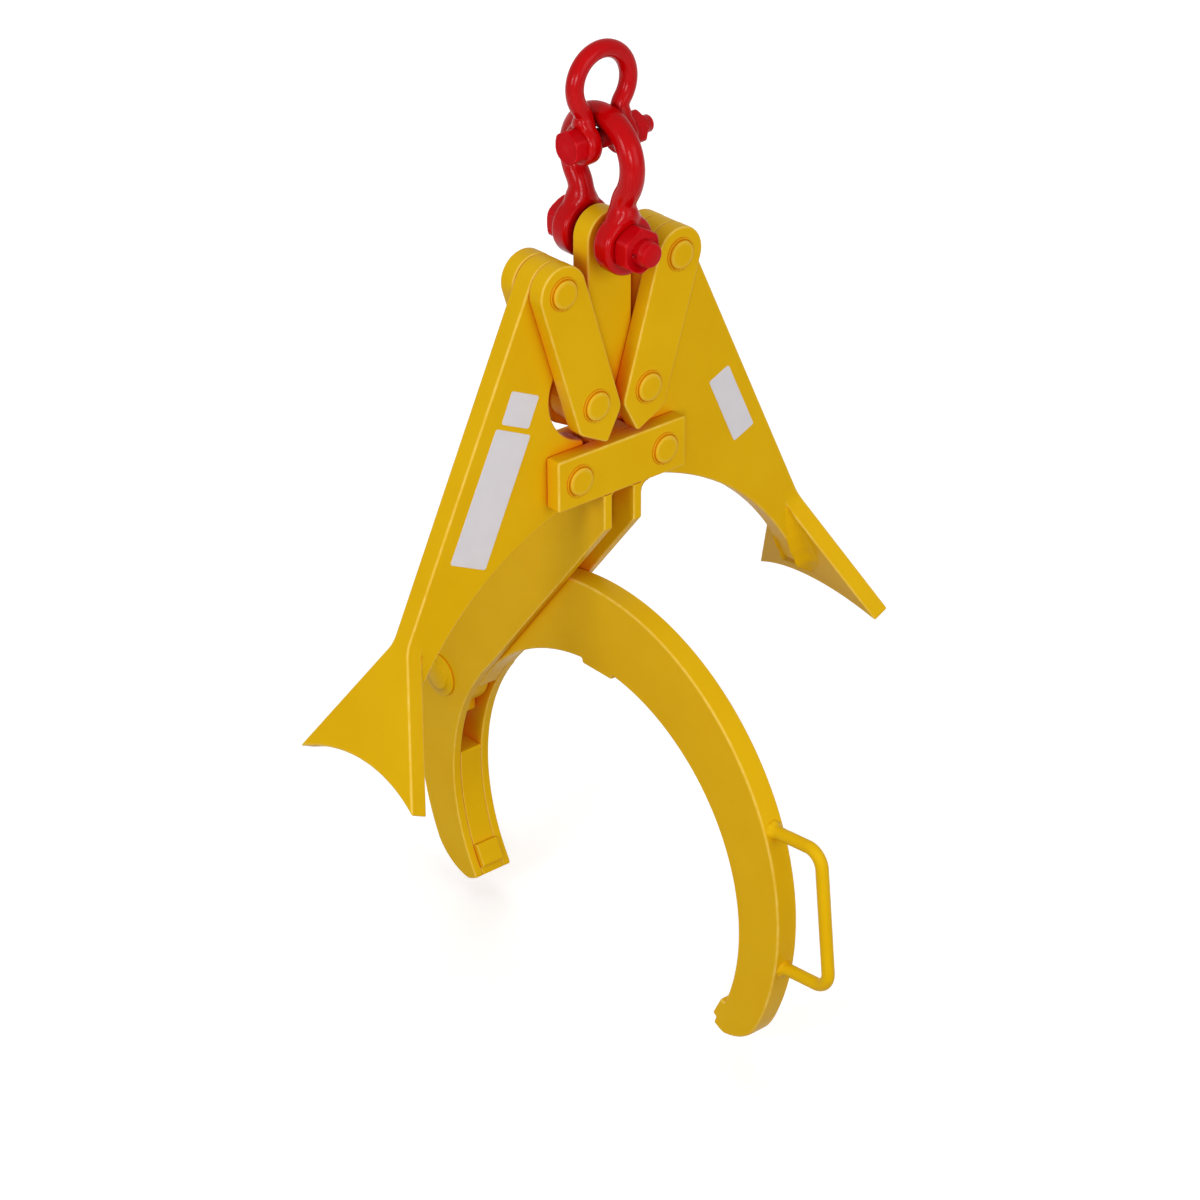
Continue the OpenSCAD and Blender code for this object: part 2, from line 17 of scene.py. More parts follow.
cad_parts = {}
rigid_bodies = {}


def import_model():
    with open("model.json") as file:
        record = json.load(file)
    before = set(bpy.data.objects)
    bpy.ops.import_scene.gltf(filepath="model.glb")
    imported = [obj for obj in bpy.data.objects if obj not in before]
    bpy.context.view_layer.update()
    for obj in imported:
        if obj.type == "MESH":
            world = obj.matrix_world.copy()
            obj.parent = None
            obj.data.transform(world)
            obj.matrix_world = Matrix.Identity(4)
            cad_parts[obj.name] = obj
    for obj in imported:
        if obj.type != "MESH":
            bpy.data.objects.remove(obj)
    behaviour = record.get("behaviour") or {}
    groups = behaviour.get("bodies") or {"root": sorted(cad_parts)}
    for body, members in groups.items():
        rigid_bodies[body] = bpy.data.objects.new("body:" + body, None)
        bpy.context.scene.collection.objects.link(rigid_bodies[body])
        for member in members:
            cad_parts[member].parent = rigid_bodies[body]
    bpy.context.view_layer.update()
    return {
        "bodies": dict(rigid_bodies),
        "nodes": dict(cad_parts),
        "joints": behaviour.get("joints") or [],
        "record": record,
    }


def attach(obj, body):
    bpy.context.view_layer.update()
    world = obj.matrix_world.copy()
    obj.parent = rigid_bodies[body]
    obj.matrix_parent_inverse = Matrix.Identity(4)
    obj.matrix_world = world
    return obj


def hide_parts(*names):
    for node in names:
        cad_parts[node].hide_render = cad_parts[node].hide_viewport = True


LOG = logging.getLogger("pipe_grab")
MM_PER_M = 1000
Field = Callable[[np.ndarray, np.ndarray], np.ndarray]
Pair = tuple[float, float]
Triple = tuple[float, float, float]
RGB = tuple[int, int, int]
Tree = bpy.types.NodeTree
Socket = bpy.types.NodeSocket


class Slot(Enum):
    """Material slots of the record."""

    YELLOW = "yellow_paint"
    RED = "red_paint"
    BOLT = "red_bolt"


class Side(Enum):
    """Half of the grab along the pipe, as the sign of X."""

    LEFT = -1
    RIGHT = 1


@dataclass(frozen=True)
class Sizes:
    """Sizes of the grab in millimetres, heights above the pipe's axis."""

    hang_z: float = 827.9
    pad_r: float = 204.2
    relief_r: float = 210.5
    bar_in: float = 11.3
    bar_out: float = 29.3
    pin_r: float = 14.0
    pin_proud: float = 1.8
    bead_r: float = 17.75
    pivot: Pair = (52.7, 433.0)
    top_pin: Pair = (70.6, 626.6)
    bottom_pin: Pair = (31.9, 503.7)
    lean: float = 25.3
    crossbar_low: float = 407.0
    cheek_in: float = 13.4
    cheek_t: float = 10.0
    hinge: Pair = (228.6, 106.9)
    hook_centre_z: float = 27.5
    nose: Triple = (184.4, -56.8, 65.0)
    nose_low: float = -90.0
    toe: tuple[Pair, ...] = ((-176.2, -105.6), (-177.7, -115.4), (-189.7, -121.7))
    tip_pad_w: float = 25.0
    pad_angle: float = 27.35
    pad_depth: float = 14.0

    def bars(self) -> dict[str, Pair]:
        """Y values of the near and the far bars, outside the legs."""
        return {"near": (-self.bar_out, -self.bar_in), "far": (self.bar_in, self.bar_out)}

    def edge_dir(self) -> np.ndarray:
        """Unit direction down the right leg's outer edge in X and Z."""
        a = np.radians(self.lean)
        return np.array([np.sin(a), -np.cos(a)])

    def edge_out(self) -> np.ndarray:
        """Unit direction out of the right leg's outer edge in X and Z."""
        a = np.radians(self.lean)
        return np.array([np.cos(a), np.sin(a)])

    def seam(self, eye_r: float = 26.5, level: float = 330.0) -> np.ndarray:
        """Point where the right leg's outer edge runs into its saddle, in X and Z."""
        top = np.array(self.top_pin) + eye_r * self.edge_out()
        return top + self.edge_dir() * (top[1] - level) / np.cos(np.radians(self.lean))


SIZE = Sizes()


def around(count: int) -> np.ndarray:
    """Evenly spaced angles of one turn."""
    return np.linspace(0, 2 * np.pi, count, endpoint=False)


def quarter(count: int) -> np.ndarray:
    """Evenly spaced angles from 0 to 90 degrees."""
    return np.linspace(0, np.pi / 2, count)


def upright(p: np.ndarray) -> np.ndarray:
    """A place or direction in X and Z, put in space."""
    return np.array([p[0], 0, p[1]])


def tangents(line: np.ndarray) -> np.ndarray:
    """Unit directions along a line of points."""
    along = np.gradient(line, axis=0)
    return along / np.linalg.norm(along, axis=1, keepdims=True)


def cross(a: np.ndarray, b: np.ndarray) -> np.ndarray:
    """Cross product of directions in a plane."""
    return a[..., 0] * b[..., 1] - a[..., 1] * b[..., 0]


def respaced(line: np.ndarray, spacing: float, closed: bool) -> np.ndarray:
    """Evenly spaced points on a line; on a closed one the last point is left out."""
    s = np.concatenate([[0], np.cumsum(np.linalg.norm(np.diff(line, axis=0), axis=1))])
    at = np.linspace(0, s[-1], max(int(s[-1] / spacing), 12), endpoint=not closed)
    return np.stack([np.interp(at, s, line[:, k]) for k in (0, 1)], 1)


def disc(cx: float, cy: float, r: float) -> Field:
    """Distance field of a disc."""
    return lambda x, y: np.hypot(x - cx, y - cy) - r


def half(px: float, py: float, angle: float) -> Field:
    """Distance field of a half plane whose outward direction is at angle, in degrees."""
    nx, ny = np.cos(np.radians(angle)), np.sin(np.radians(angle))
    return lambda x, y: (x - px) * nx + (y - py) * ny


def poly(*corners: Sequence[float]) -> Field:
    """Exact distance field of a polygon, negative inside."""
    a = np.array(corners, float)
    b = np.roll(a, -1, axis=0)

    def field_at(x: np.ndarray, y: np.ndarray) -> np.ndarray:
        dist = np.full(np.shape(x), np.inf)
        inside = np.zeros(np.shape(x), bool)
        for p, q in zip(a, b):
            e = q - p
            wx, wy = x - p[0], y - p[1]
            t = np.clip((wx * e[0] + wy * e[1]) / (e @ e), 0, 1)
            dist = np.minimum(dist, np.hypot(wx - t * e[0], wy - t * e[1]))
            crosses = (p[1] <= y) != (q[1] <= y)
            inside ^= crosses & (wx < wy * e[0] / (e[1] if abs(e[1]) > 1e-9 else 1e-9))
        return np.where(inside, -dist, dist)

    return field_at


def join(a: Field, b: Field, r: float = 0.01) -> Field:
    """Union of two fields with a circular fillet of radius r in the corner.

    Formula: max(r, min(u, v)) - |(max(r - u, 0), max(r - v, 0))|.
    """

    def field_at(x: np.ndarray, y: np.ndarray) -> np.ndarray:
        u, v = a(x, y), b(x, y)
        return np.maximum(r, np.minimum(u, v)) - np.hypot(np.maximum(r - u, 0), np.maximum(r - v, 0))

    return field_at


def outside(a: Field) -> Field:
    """Everything that a leaves free."""
    return lambda x, y: -a(x, y)


def meet(a: Field, b: Field, r: float = 0.01) -> Field:
    """Intersection of two fields with its corner rounded by radius r."""
    return outside(join(outside(a), outside(b), r))


def cut(a: Field, b: Field, r: float = 0.01) -> Field:
    """Field a without b, the new corners rounded by radius r."""
    return meet(a, outside(b), r)


def convex(corners: Sequence[Sequence[float]], r: float) -> Field:
    """Convex polygon, corners in counter-clockwise order, each rounded by radius r."""
    pts = np.array(corners, float)
    result: Field | None = None
    for p, q in zip(pts, np.roll(pts, -1, axis=0)):
        side = half(p[0], p[1], np.degrees(np.arctan2(q[1] - p[1], q[0] - p[0])) - 90)
        result = side if result is None else meet(result, side, r)
    return result


def slope(shape: Field, p: np.ndarray, h: float = 0.02) -> tuple[np.ndarray, np.ndarray]:
    """Value and gradient of a field at points, by central differences."""
    x, y = p[:, 0], p[:, 1]
    gx = (shape(x + h, y) - shape(x - h, y)) / (2 * h)
    gy = (shape(x, y + h) - shape(x, y - h)) / (2 * h)
    return shape(x, y), np.stack([gx, gy], 1)


def trace(shape: Field, low: Sequence[float], high: Sequence[float], step: float = 1.0) -> np.ndarray:
    """Longest closed contour shape(x, y) = 0, by marching squares and Newton steps.

    Args:
        shape: the distance field.
        low: lowest corner of the box that holds the shape.
        high: highest corner of that box.
        step: spacing of the grid, in millimetres.

    Returns:
        Points of the contour, thinned where it runs straight, counter-clockwise.
    """
    xs = np.arange(low[0] - 2 * step, high[0] + 2 * step, step) + 0.0137
    ys = np.arange(low[1] - 2 * step, high[1] + 2 * step, step) + 0.0171
    points, links = crossings(shape(*np.meshgrid(xs, ys, indexing="ij")), xs, ys, step)
    ring = np.array([points[k] for k in longest(links)])
    return thin(settle(shape, even(ring, step)))


def crossings(f: np.ndarray, xs: np.ndarray, ys: np.ndarray, step: float) -> tuple[dict, dict]:
    """Places where values change sign between neighbours of a grid, and how they link up.

    Args:
        f: the values.
        xs: places of the grid's rows.
        ys: places of its columns.
        step: spacing of the grid.

    Returns:
        The points by number, and the numbers of each point's neighbours.
    """
    inside, n = f < 0, f.size
    along_x = inside[:-1] != inside[1:]
    along_y = inside[:, :-1] != inside[:, 1:]
    ids = np.arange(n).reshape(f.shape)
    tx = f[:-1] / np.where(along_x, f[:-1] - f[1:], 1)
    ty = f[:, :-1] / np.where(along_y, f[:, :-1] - f[:, 1:], 1)
    points = {int(ids[i, j]): (xs[i] + tx[i, j] * step, ys[j]) for i, j in np.argwhere(along_x)}
    points |= {int(ids[i, j]) + n: (xs[i], ys[j] + ty[i, j] * step) for i, j in np.argwhere(along_y)}
    links: dict[int, list[int]] = {k: [] for k in points}
    sides = (
        (along_x[:, :-1], 0, 0, 0), (along_y[1:], n, 1, 0), (along_x[:, 1:], 0, 0, 1), (along_y[:-1], n, 0, 0)
    )
    for i, j in np.argwhere(sum(side[0].astype(int) for side in sides)):
        hit = [int(ids[i + di, j + dj]) + base for edge, base, di, dj in sides if edge[i, j]]
        for a, b in zip(hit[::2], hit[1::2]):
            links[a].append(b)
            links[b].append(a)
    return points, links


def longest(links: dict[int, list[int]]) -> list[int]:
    """Numbers of the longest loop of linked points."""
    best: list[int] = []
    unseen = set(links)
    while unseen:
        loop = [unseen.pop()]
        while ahead := [k for k in links[loop[-1]] if k in unseen]:
            unseen.remove(ahead[0])
            loop.append(ahead[0])
        best = max(best, loop, key=len)
    return best


def even(ring: np.ndarray, spacing: float) -> np.ndarray:
    """A closed ring of points, counter-clockwise and evenly spaced."""
    closed = np.vstack([ring, ring[:1]])
    if np.sum(cross(closed[:-1], closed[1:])) < 0:
        closed = closed[::-1]
    return respaced(closed, spacing, closed=True)


def settle(shape: Field, p: np.ndarray) -> np.ndarray:
    """Points moved onto the contour by three Newton steps."""
    for _ in range(3):
        value, grad = slope(shape, p)
        p = p - (value / np.maximum((grad**2).sum(1), 0.2))[:, None] * grad
    return p


def thin(ring: np.ndarray, turn: float = 6.0, reach: float = 9.0) -> np.ndarray:
    """Leave out points until the ring has turned by turn degrees or run on by reach millimetres."""
    ahead = np.roll(ring, -1, axis=0) - ring
    heading = np.unwrap(np.arctan2(ahead[:, 1], ahead[:, 0]))
    kept, last = [0], 0
    for k in range(1, len(ring)):
        turned = abs(heading[k] - heading[last]) > np.radians(turn)
        if turned or np.linalg.norm(ring[k] - ring[kept[-1]]) > reach:
            kept.append(k)
            last = k
    return ring[kept]


def unfolded(inset: np.ndarray) -> np.ndarray:
    """An inset ring with the small loop at each tight corner drawn together where it crosses itself."""
    q, n = inset.copy(), len(inset)
    for _ in range(24):
        d = np.roll(q, -1, axis=0) - q
        between = q[None] - q[:, None]
        base = cross(d[:, None], d[None])
        base = np.where(np.abs(base) < 1e-12, np.inf, base)
        t, u = cross(between, d[None]) / base, cross(between, d[:, None]) / base
        pairs = np.argwhere((t > 1e-7) & (t < 1 - 1e-7) & (u > 1e-7) & (u < 1 - 1e-7))
        gaps = (pairs[:, 1] - pairs[:, 0]) % n
        small = (gaps > 1) & (gaps < n // 4)
        pairs, gaps = pairs[small], gaps[small]
        if not len(pairs):
            break
        i, j = pairs[np.argmin(gaps)]
        at = q[i] + t[i, j] * d[i]
        loop = (i + 1 + np.arange((j - i) % n)) % n
        spread = np.linspace(-0.01, 0.01, len(loop))[:, None] if len(loop) > 1 else np.zeros((1, 1))
        q[loop] = at + spread * (q[(j + 1) % n] - q[i])
    return q


@dataclass
class Surface:
    """A closed surface: points, faces, each point's painted highlight (positive) or painted shade (negative),
    and exact normals.
    """

    points: np.ndarray
    faces: list[tuple[int, ...]]
    edge: np.ndarray
    normals: np.ndarray | None = None

    def mirrored(self, side: Side) -> "Surface":
        """The same surface on the grab's other half."""
        flip = np.array([side.value, 1, 1])
        normals = None if self.normals is None else self.normals * flip
        faces = self.faces if side is Side.RIGHT else [f[::-1] for f in self.faces]
        return Surface(self.points * flip, faces, self.edge, normals)

    def volume(self) -> float:
        """Signed volume, positive when the faces look outward."""
        total = 0.0
        for f in self.faces:
            a = self.points[f[0]]
            for i in range(1, len(f) - 1):
                total += a @ np.cross(self.points[f[i]], self.points[f[i + 1]])
        return total / 6


def grid_faces(rows: int, cols: int, start: int = 0) -> list[tuple[int, ...]]:
    """Quads between rows of points, each row a closed ring of cols points."""
    i, j = np.meshgrid(np.arange(rows - 1), np.arange(cols), indexing="ij")
    k = (j + 1) % cols
    quads = np.stack([i * cols + j, i * cols + k, (i + 1) * cols + k, (i + 1) * cols + j], -1)
    return [tuple(q) for q in (quads.reshape(-1, 4) + start).tolist()]


def tube(rings: np.ndarray, edge: np.ndarray | None = None, normals: np.ndarray | None = None) -> Surface:
    """Closed surface through rings of points, each end shut by one flat face.

    Args:
        rings: array of rows, points per row and 3.
        edge: painted highlight (positive) or painted shade (negative) of each point, or none.
        normals: exact normal of each point, or none.
    """
    rows, cols = rings.shape[:2]
    faces = grid_faces(rows, cols)
    faces.append(tuple(range(cols - 1, -1, -1)))
    faces.append(tuple(range((rows - 1) * cols, rows * cols)))
    painted_light = np.zeros(rows * cols) if edge is None else edge.reshape(-1)
    exact = None if normals is None else normals.reshape(-1, 3)
    result = Surface(rings.reshape(-1, 3), faces, painted_light, exact)
    if result.volume() < 0:
        result.faces = [f[::-1] for f in faces]
    return result


def merged(parts: Iterable[Surface]) -> Surface:
    """Several surfaces as one, each still closed by itself."""
    points, faces, edges, normals, start = [], [], [], [], 0
    for part in parts:
        points.append(part.points)
        faces += [tuple(k + start for k in f) for f in part.faces]
        edges.append(part.edge)
        normals.append(part.normals)
        start += len(part.points)
    exact = None if any(n is None for n in normals) else np.vstack(normals)
    return Surface(np.vstack(points), faces, np.concatenate(edges), exact)


@dataclass(frozen=True)
class Plane:
    """A drawing plane in space: its origin, two in-plane directions and the thickness direction."""

    origin: Triple | np.ndarray = (0, 0, 0)
    u: Triple | np.ndarray = (1, 0, 0)
    v: Triple | np.ndarray = (0, 0, 1)
    w: Triple | np.ndarray = (0, 1, 0)

    def turn(self, p: np.ndarray) -> np.ndarray:
        """Directions given in the plane, turned into space."""
        return p @ np.array([self.u, self.v, self.w], float)

    def at(self, p: np.ndarray) -> np.ndarray:
        """Points given in the plane, placed in space."""
        return self.turn(p) + np.array(self.origin, float)


XZ = Plane()
YZ = Plane(u=(0, 1, 0), v=(0, 0, 1), w=(1, 0, 0))


@dataclass(frozen=True)
class Plate:
    """A flat plate with rounded rims: an outline c(u) carried over the thickness.

    P(u, t) = c(u) - e (1 - cos t) n(u), at depth e (1 - sin t) below the face, t from 0 to 90 degrees,
    where n(u) is the outline's outward normal and e the rim's radius.
    """

    shape: Field
    low: Sequence[float]
    high: Sequence[float]
    bottom: float
    top: float
    rim: float = 2.0
    plane: Plane = XZ
    segments: int = 5

    def surface(self) -> Surface:
        """The closed surface with its exact normals."""
        ring = trace(self.shape, self.low, self.high)
        grad = slope(self.shape, ring)[1]
        out = grad / np.maximum(np.linalg.norm(grad, axis=1, keepdims=True), 1e-9)
        t = quarter(self.segments)
        rise = np.concatenate([-t[::-1], t])
        ends = np.concatenate([np.full(len(t), self.bottom + self.rim), np.full(len(t), self.top - self.rim)])
        depth = ends + self.rim * np.sin(rise)
        inset = self.rim * (1 - np.cos(rise))
        flat = np.stack([unfolded(ring - e * out) for e in inset])
        w = np.broadcast_to(depth[:, None, None], flat.shape[:2] + (1,))
        sine, cosine = np.sin(rise)[:, None, None], np.cos(rise)[:, None, None]
        normal = np.concatenate([out[None] * cosine, np.broadcast_to(sine, w.shape)], -1)
        # Painted highlight on the rounded rims, strongest half way round each rim.
        painted_light = np.broadcast_to(np.sin(2 * np.abs(rise))[:, None], flat.shape[:2])
        return tube(self.plane.at(np.concatenate([flat, w], -1)), painted_light.copy(), self.plane.turn(normal))


@dataclass(frozen=True)
class Turned:
    """A surface of revolution: P(s, a) = (r(s, a) cos a, r(s, a) sin a, h(s)) along any axis.

    The radius may change round the axis, which gives hexagons, broken weld beads and cross holes.
    """

    heights: np.ndarray
    radii: np.ndarray
    plane: Plane

    def surface(self, edge: np.ndarray | None = None) -> Surface:
        """The closed surface."""
        a = around(self.radii.shape[1])
        h = np.broadcast_to(np.asarray(self.heights, float).reshape(len(self.radii), -1), self.radii.shape)
        rings = np.stack([self.radii * np.cos(a), self.radii * np.sin(a), h], -1)
        return tube(self.plane.at(rings), edge)


def lathe(heights: np.ndarray, radii: np.ndarray, plane: Plane, cols: int = 72) -> Surface:
    """A round surface of revolution."""
    return Turned(heights, radii[:, None] * np.ones(cols), plane).surface()


@dataclass(frozen=True)
class Weld:
    """A concave weld fillet that runs along a line between two walls.

    P(s, t) = c(s) + r(s) (1 - sin t) a + r(s) (1 - cos t) b, t from 0 to 90 degrees, with the
    corner itself sunk a little into both walls.
    """

    start: np.ndarray
    end: np.ndarray
    wall_a: np.ndarray
    wall_b: np.ndarray
    radius: Callable[[np.ndarray], np.ndarray]
    steps: int = 60
    sink: float = 0.4

    def surface(self) -> Surface:
        """The closed strip."""
        s, t = np.linspace(0, 1, self.steps), quarter(10)
        run = 2 * np.pi * s * np.linalg.norm(self.end - self.start)
        ripple = 1 + 0.025 * np.sin(run / 4.3) + 0.03 * np.sin(run / 17 + 1)
        r = (self.radius(s) * ripple)[:, None, None]
        corner = (self.start + s[:, None] * (self.end - self.start))[:, None]
        off_a = (1 - np.sin(t))[None, :, None] * self.wall_a
        off_b = (1 - np.cos(t))[None, :, None] * self.wall_b
        arc = corner + r * (off_a + off_b)
        ends = arc[:, :1] - self.sink * self.wall_b, arc[:, -1:] - self.sink * self.wall_a
        sunk = corner - self.sink * (self.wall_a + self.wall_b)
        arc = np.concatenate([ends[0], arc, ends[1], sunk], 1)
        return tube(arc)


class Shade:
    """A material's node tree with short calls for its usual nodes."""

    def __init__(self, name: str) -> None:
        self.material = bpy.data.materials.new(name)
        self.material.use_nodes = True
        self.tree = self.material.node_tree
        self.shader = self.tree.nodes["Principled BSDF"]

    def blend(self, mask: Socket, first: object, second: object) -> Socket:
        """Colour that goes from first to second with a mask; each is a colour or a socket."""
        node = add_node(self.tree, "ShaderNodeMix", {0: mask}, data_type="RGBA")
        fill(self.tree, node, {6: first, 7: second})
        return node.outputs[2]

    def shared(self, tree: Tree, **inputs: float) -> Socket:
        """Output of a copy of a shared node group."""
        node = self.tree.nodes.new("ShaderNodeGroup")
        node.node_tree = tree
        fill(self.tree, node, inputs)
        return node.outputs[0]

    def finish(self, inputs: dict) -> bpy.types.Material:
        """The material, once its shader's inputs are set or linked."""
        fill(self.tree, self.shader, inputs)
        return self.material


def fill(tree: Tree, node: bpy.types.Node, inputs: dict) -> None:
    """Set a node's inputs to values, or link them from sockets."""
    for key, value in inputs.items():
        if isinstance(value, Socket):
            tree.links.new(value, node.inputs[key])
        else:
            node.inputs[key].default_value = value


def add_node(tree: Tree, kind: str, inputs: dict | None = None, **settings) -> bpy.types.Node:
    """A new node with settings, and inputs set to values or linked from sockets."""
    node = tree.nodes.new(kind)
    for key, value in settings.items():
        setattr(node, key, value)
    fill(tree, node, inputs or {})
    return node


def combine(tree: Tree, operation: str, first: object, second: object, clamp: bool = False) -> Socket:
    """Output of a math node on two values or sockets."""
    inputs = {0: first, 1: second}
    return add_node(tree, "ShaderNodeMath", inputs, operation=operation, use_clamp=clamp).outputs[0]


def remap(tree: Tree, value: Socket, source: tuple = (0.0, 1.0), target: tuple = (0.0, 1.0)) -> Socket:
    """A value carried from the source range to the target range."""
    ends = {"From Min": source[0], "From Max": source[1], "To Min": target[0], "To Max": target[1]}
    return add_node(tree, "ShaderNodeMapRange", {"Value": value, **ends}).outputs[0]


def noise(tree: Tree, scale: object, **inputs: float) -> Socket:
    """Noise in the object's own coordinates."""
    place = add_node(tree, "ShaderNodeTexCoord").outputs["Object"]
    return add_node(tree, "ShaderNodeTexNoise", {"Vector": place, "Scale": scale, **inputs}).outputs["Fac"]


def linear(red: int, green: int, blue: int) -> tuple[float, float, float, float]:
    """A display colour of 0 to 255 as linear light."""
    c = np.array([red, green, blue]) / 255
    light = np.where(c <= 0.04045, c / 12.92, ((c + 0.055) / 1.055) ** 2.4)
    return (*light.tolist(), 1.0)


class SharedNodes:
    """Node groups that several finishes use; each puts out one mask or one normal."""

    def __init__(self) -> None:
        self.clouds = self._clouds()
        self.peel = self._peel()
        self.crevice = self._corner_shade()

    def _group(self, name: str, inputs: dict[str, float], output: str, kind: str) -> tuple:
        """A new group with number inputs and one output: its tree, its given sockets and its last one."""
        tree = bpy.data.node_groups.new(name, "ShaderNodeTree")
        for label, value in inputs.items():
            socket = tree.interface.new_socket(label, in_out="INPUT", socket_type="NodeSocketFloat")
            socket.default_value = value
        tree.interface.new_socket(output, in_out="OUTPUT", socket_type=kind)
        given, out = tree.nodes.new("NodeGroupInput"), tree.nodes.new("NodeGroupOutput")
        return tree, given.outputs, out.inputs[0]

    def _clouds(self) -> Tree:
        """Soft uneven mask from noise."""
        tree, given, out = self._group("Clouds", {"Size": 12.0}, "Mask", "NodeSocketFloat")
        uneven = noise(tree, given[0], Detail=4.0, Roughness=0.55)
        tree.links.new(remap(tree, uneven, source=(0.35, 0.65)), out)
        return tree

    def _peel(self) -> Tree:
        """Normal of sprayed paint: fine orange peel over slow unevenness."""
        given_values = {"Grain": 900.0, "Depth": 0.1}
        tree, given, out = self._group("SprayPeel", given_values, "Normal", "NodeSocketVector")
        total = combine(tree, "ADD", noise(tree, 55.0, Detail=2.0), noise(tree, given[0], Detail=2.0))
        bump = {"Strength": given[1], "Distance": 0.0004, "Height": total}
        tree.links.new(add_node(tree, "ShaderNodeBump", bump).outputs[0], out)
        return tree

    def _corner_shade(self) -> Tree:
        """Mask of painted shade in corners and gaps, from how much of the sky a point sees."""
        tree, given, out = self._group("Crevice", {"Reach": 0.04, "Onset": 0.85}, "Mask", "NodeSocketFloat")
        sky = add_node(tree, "ShaderNodeAmbientOcclusion", {"Distance": given[0]}, samples=8)
        tree.links.new(remap(tree, sky.outputs["AO"], source=(given[1], 0.15)), out)
        return tree


@dataclass(frozen=True)
class Paint:
    """Sprayed paint: two near tones in clouds, painted highlights on the rims, painted shade in corners and
    creases, and orange peel.
    """

    name: str
    tone: RGB
    second: RGB
    rim: RGB
    deep: RGB
    crease: RGB
    roughness: float
    gloss: float
    tint: Triple
    peel: float
    cloud: float = 14.0
    breaks: float = 90.0
    painted_light: Pair = (0.2, 0.6)
    reach: float = 0.035
    onset: float = 0.65
    drift: float = 0.06
    grain: float = 900.0

    def build(self, shared: SharedNodes) -> bpy.types.Material:
        """The finished material."""
        shade = Shade(self.name)
        tree = shade.tree
        mask = shade.shared(shared.clouds, Size=self.cloud)
        light_and_shade = add_node(tree, "ShaderNodeAttribute", attribute_name="edge").outputs["Fac"]
        breaks = remap(tree, shade.shared(shared.clouds, Size=self.breaks), target=self.painted_light)
        # Layers: painted highlight on the rims, painted shade in corners from the sky mask, painted shade in
        # creases where the edge attribute is negative.
        layers = (
            (combine(tree, "MULTIPLY", light_and_shade, breaks, True), self.rim),
            (shade.shared(shared.crevice, Reach=self.reach, Onset=self.onset), self.deep),
            (combine(tree, "MULTIPLY", light_and_shade, -1.0, True), self.crease),
        )
        colour = shade.blend(mask, linear(*self.tone), linear(*self.second))
        for where, tone in layers:
            colour = shade.blend(where, colour, linear(*tone))
        return shade.finish({
            "Base Color": colour,
            "Roughness": remap(tree, mask, target=(self.roughness, self.roughness + self.drift)),
            "Normal": shade.shared(shared.peel, Grain=self.grain, Depth=self.peel),
            "Specular IOR Level": self.gloss,
            "Specular Tint": (*self.tint, 1.0),
        })


@dataclass(frozen=True)
class Label:
    """Bare pale film of a label place, with a faint mottle."""

    name: str = "label_film"
    tone: RGB = (215, 213, 219)
    second: RGB = (212, 210, 216)
    cloud: float = 60.0
    grain: float = 500.0
    peel: float = 0.06
    roughness: float = 0.42

    def build(self, shared: SharedNodes) -> bpy.types.Material:
        """The finished material."""
        shade = Shade(self.name)
        mask = shade.shared(shared.clouds, Size=self.cloud)
        return shade.finish({
            "Base Color": shade.blend(mask, linear(*self.tone), linear(*self.second)),
            "Roughness": self.roughness,
            "Normal": shade.shared(shared.peel, Grain=self.grain, Depth=self.peel),
        })


@dataclass(frozen=True)
class Backdrop:
    """Pale studio floor that the camera and reflections see as white, and that throws back less light."""

    name: str = "studio_floor"
    tone: RGB = (250, 250, 250)
    second: RGB = (248, 248, 248)
    bounce: RGB = (138, 122, 102)
    lift: float = 0.24
    cloud: float = 3.0
    roughness: float = 0.9

    def build(self, shared: SharedNodes) -> bpy.types.Material:
        """The finished material."""
        shade = Shade(self.name)
        mask = shade.shared(shared.clouds, Size=self.cloud)
        pale = shade.blend(mask, linear(*self.tone), linear(*self.second))
        path = add_node(shade.tree, "ShaderNodeLightPath").outputs
        seen = combine(shade.tree, "MAXIMUM", path["Is Camera Ray"], path["Is Glossy Ray"])
        seen = combine(shade.tree, "MAXIMUM", seen, path["Is Transmission Ray"])
        return shade.finish({
            "Base Color": shade.blend(seen, linear(*self.bounce), pale),
            "Emission Color": shade.blend(seen, (0.0, 0.0, 0.0, 1.0), (self.lift, self.lift, self.lift, 1.0)),
            "Emission Strength": 1.0,
            "Roughness": self.roughness,
        })


# rim is the colour of the painted highlight; deep and crease are the colours of painted shade.
PAINTS = {
    Slot.YELLOW: Paint(
        name="yellow_gloss", tone=(222, 176, 12), second=(219, 171, 10), rim=(238, 206, 110),
        deep=(222, 90, 4), crease=(206, 120, 8), roughness=0.36, gloss=0.09, tint=(1.0, 0.82, 0.35), peel=0.1,
    ),
    Slot.RED: Paint(
        name="red_gloss", tone=(190, 2, 6), second=(182, 1, 5), rim=(204, 20, 30), deep=(130, 1, 3),
        crease=(130, 1, 3), roughness=0.17, gloss=0.14, tint=(1.0, 0.92, 1.0), peel=0.1, cloud=30.0,
    ),
    Slot.BOLT: Paint(
        name="red_bolt_coat", tone=(194, 3, 14), second=(186, 2, 10), rim=(206, 24, 40), deep=(130, 1, 4),
        crease=(130, 1, 4), roughness=0.3, gloss=0.11, tint=(1.0, 0.92, 1.0), peel=0.16, cloud=60.0,
    ),
}


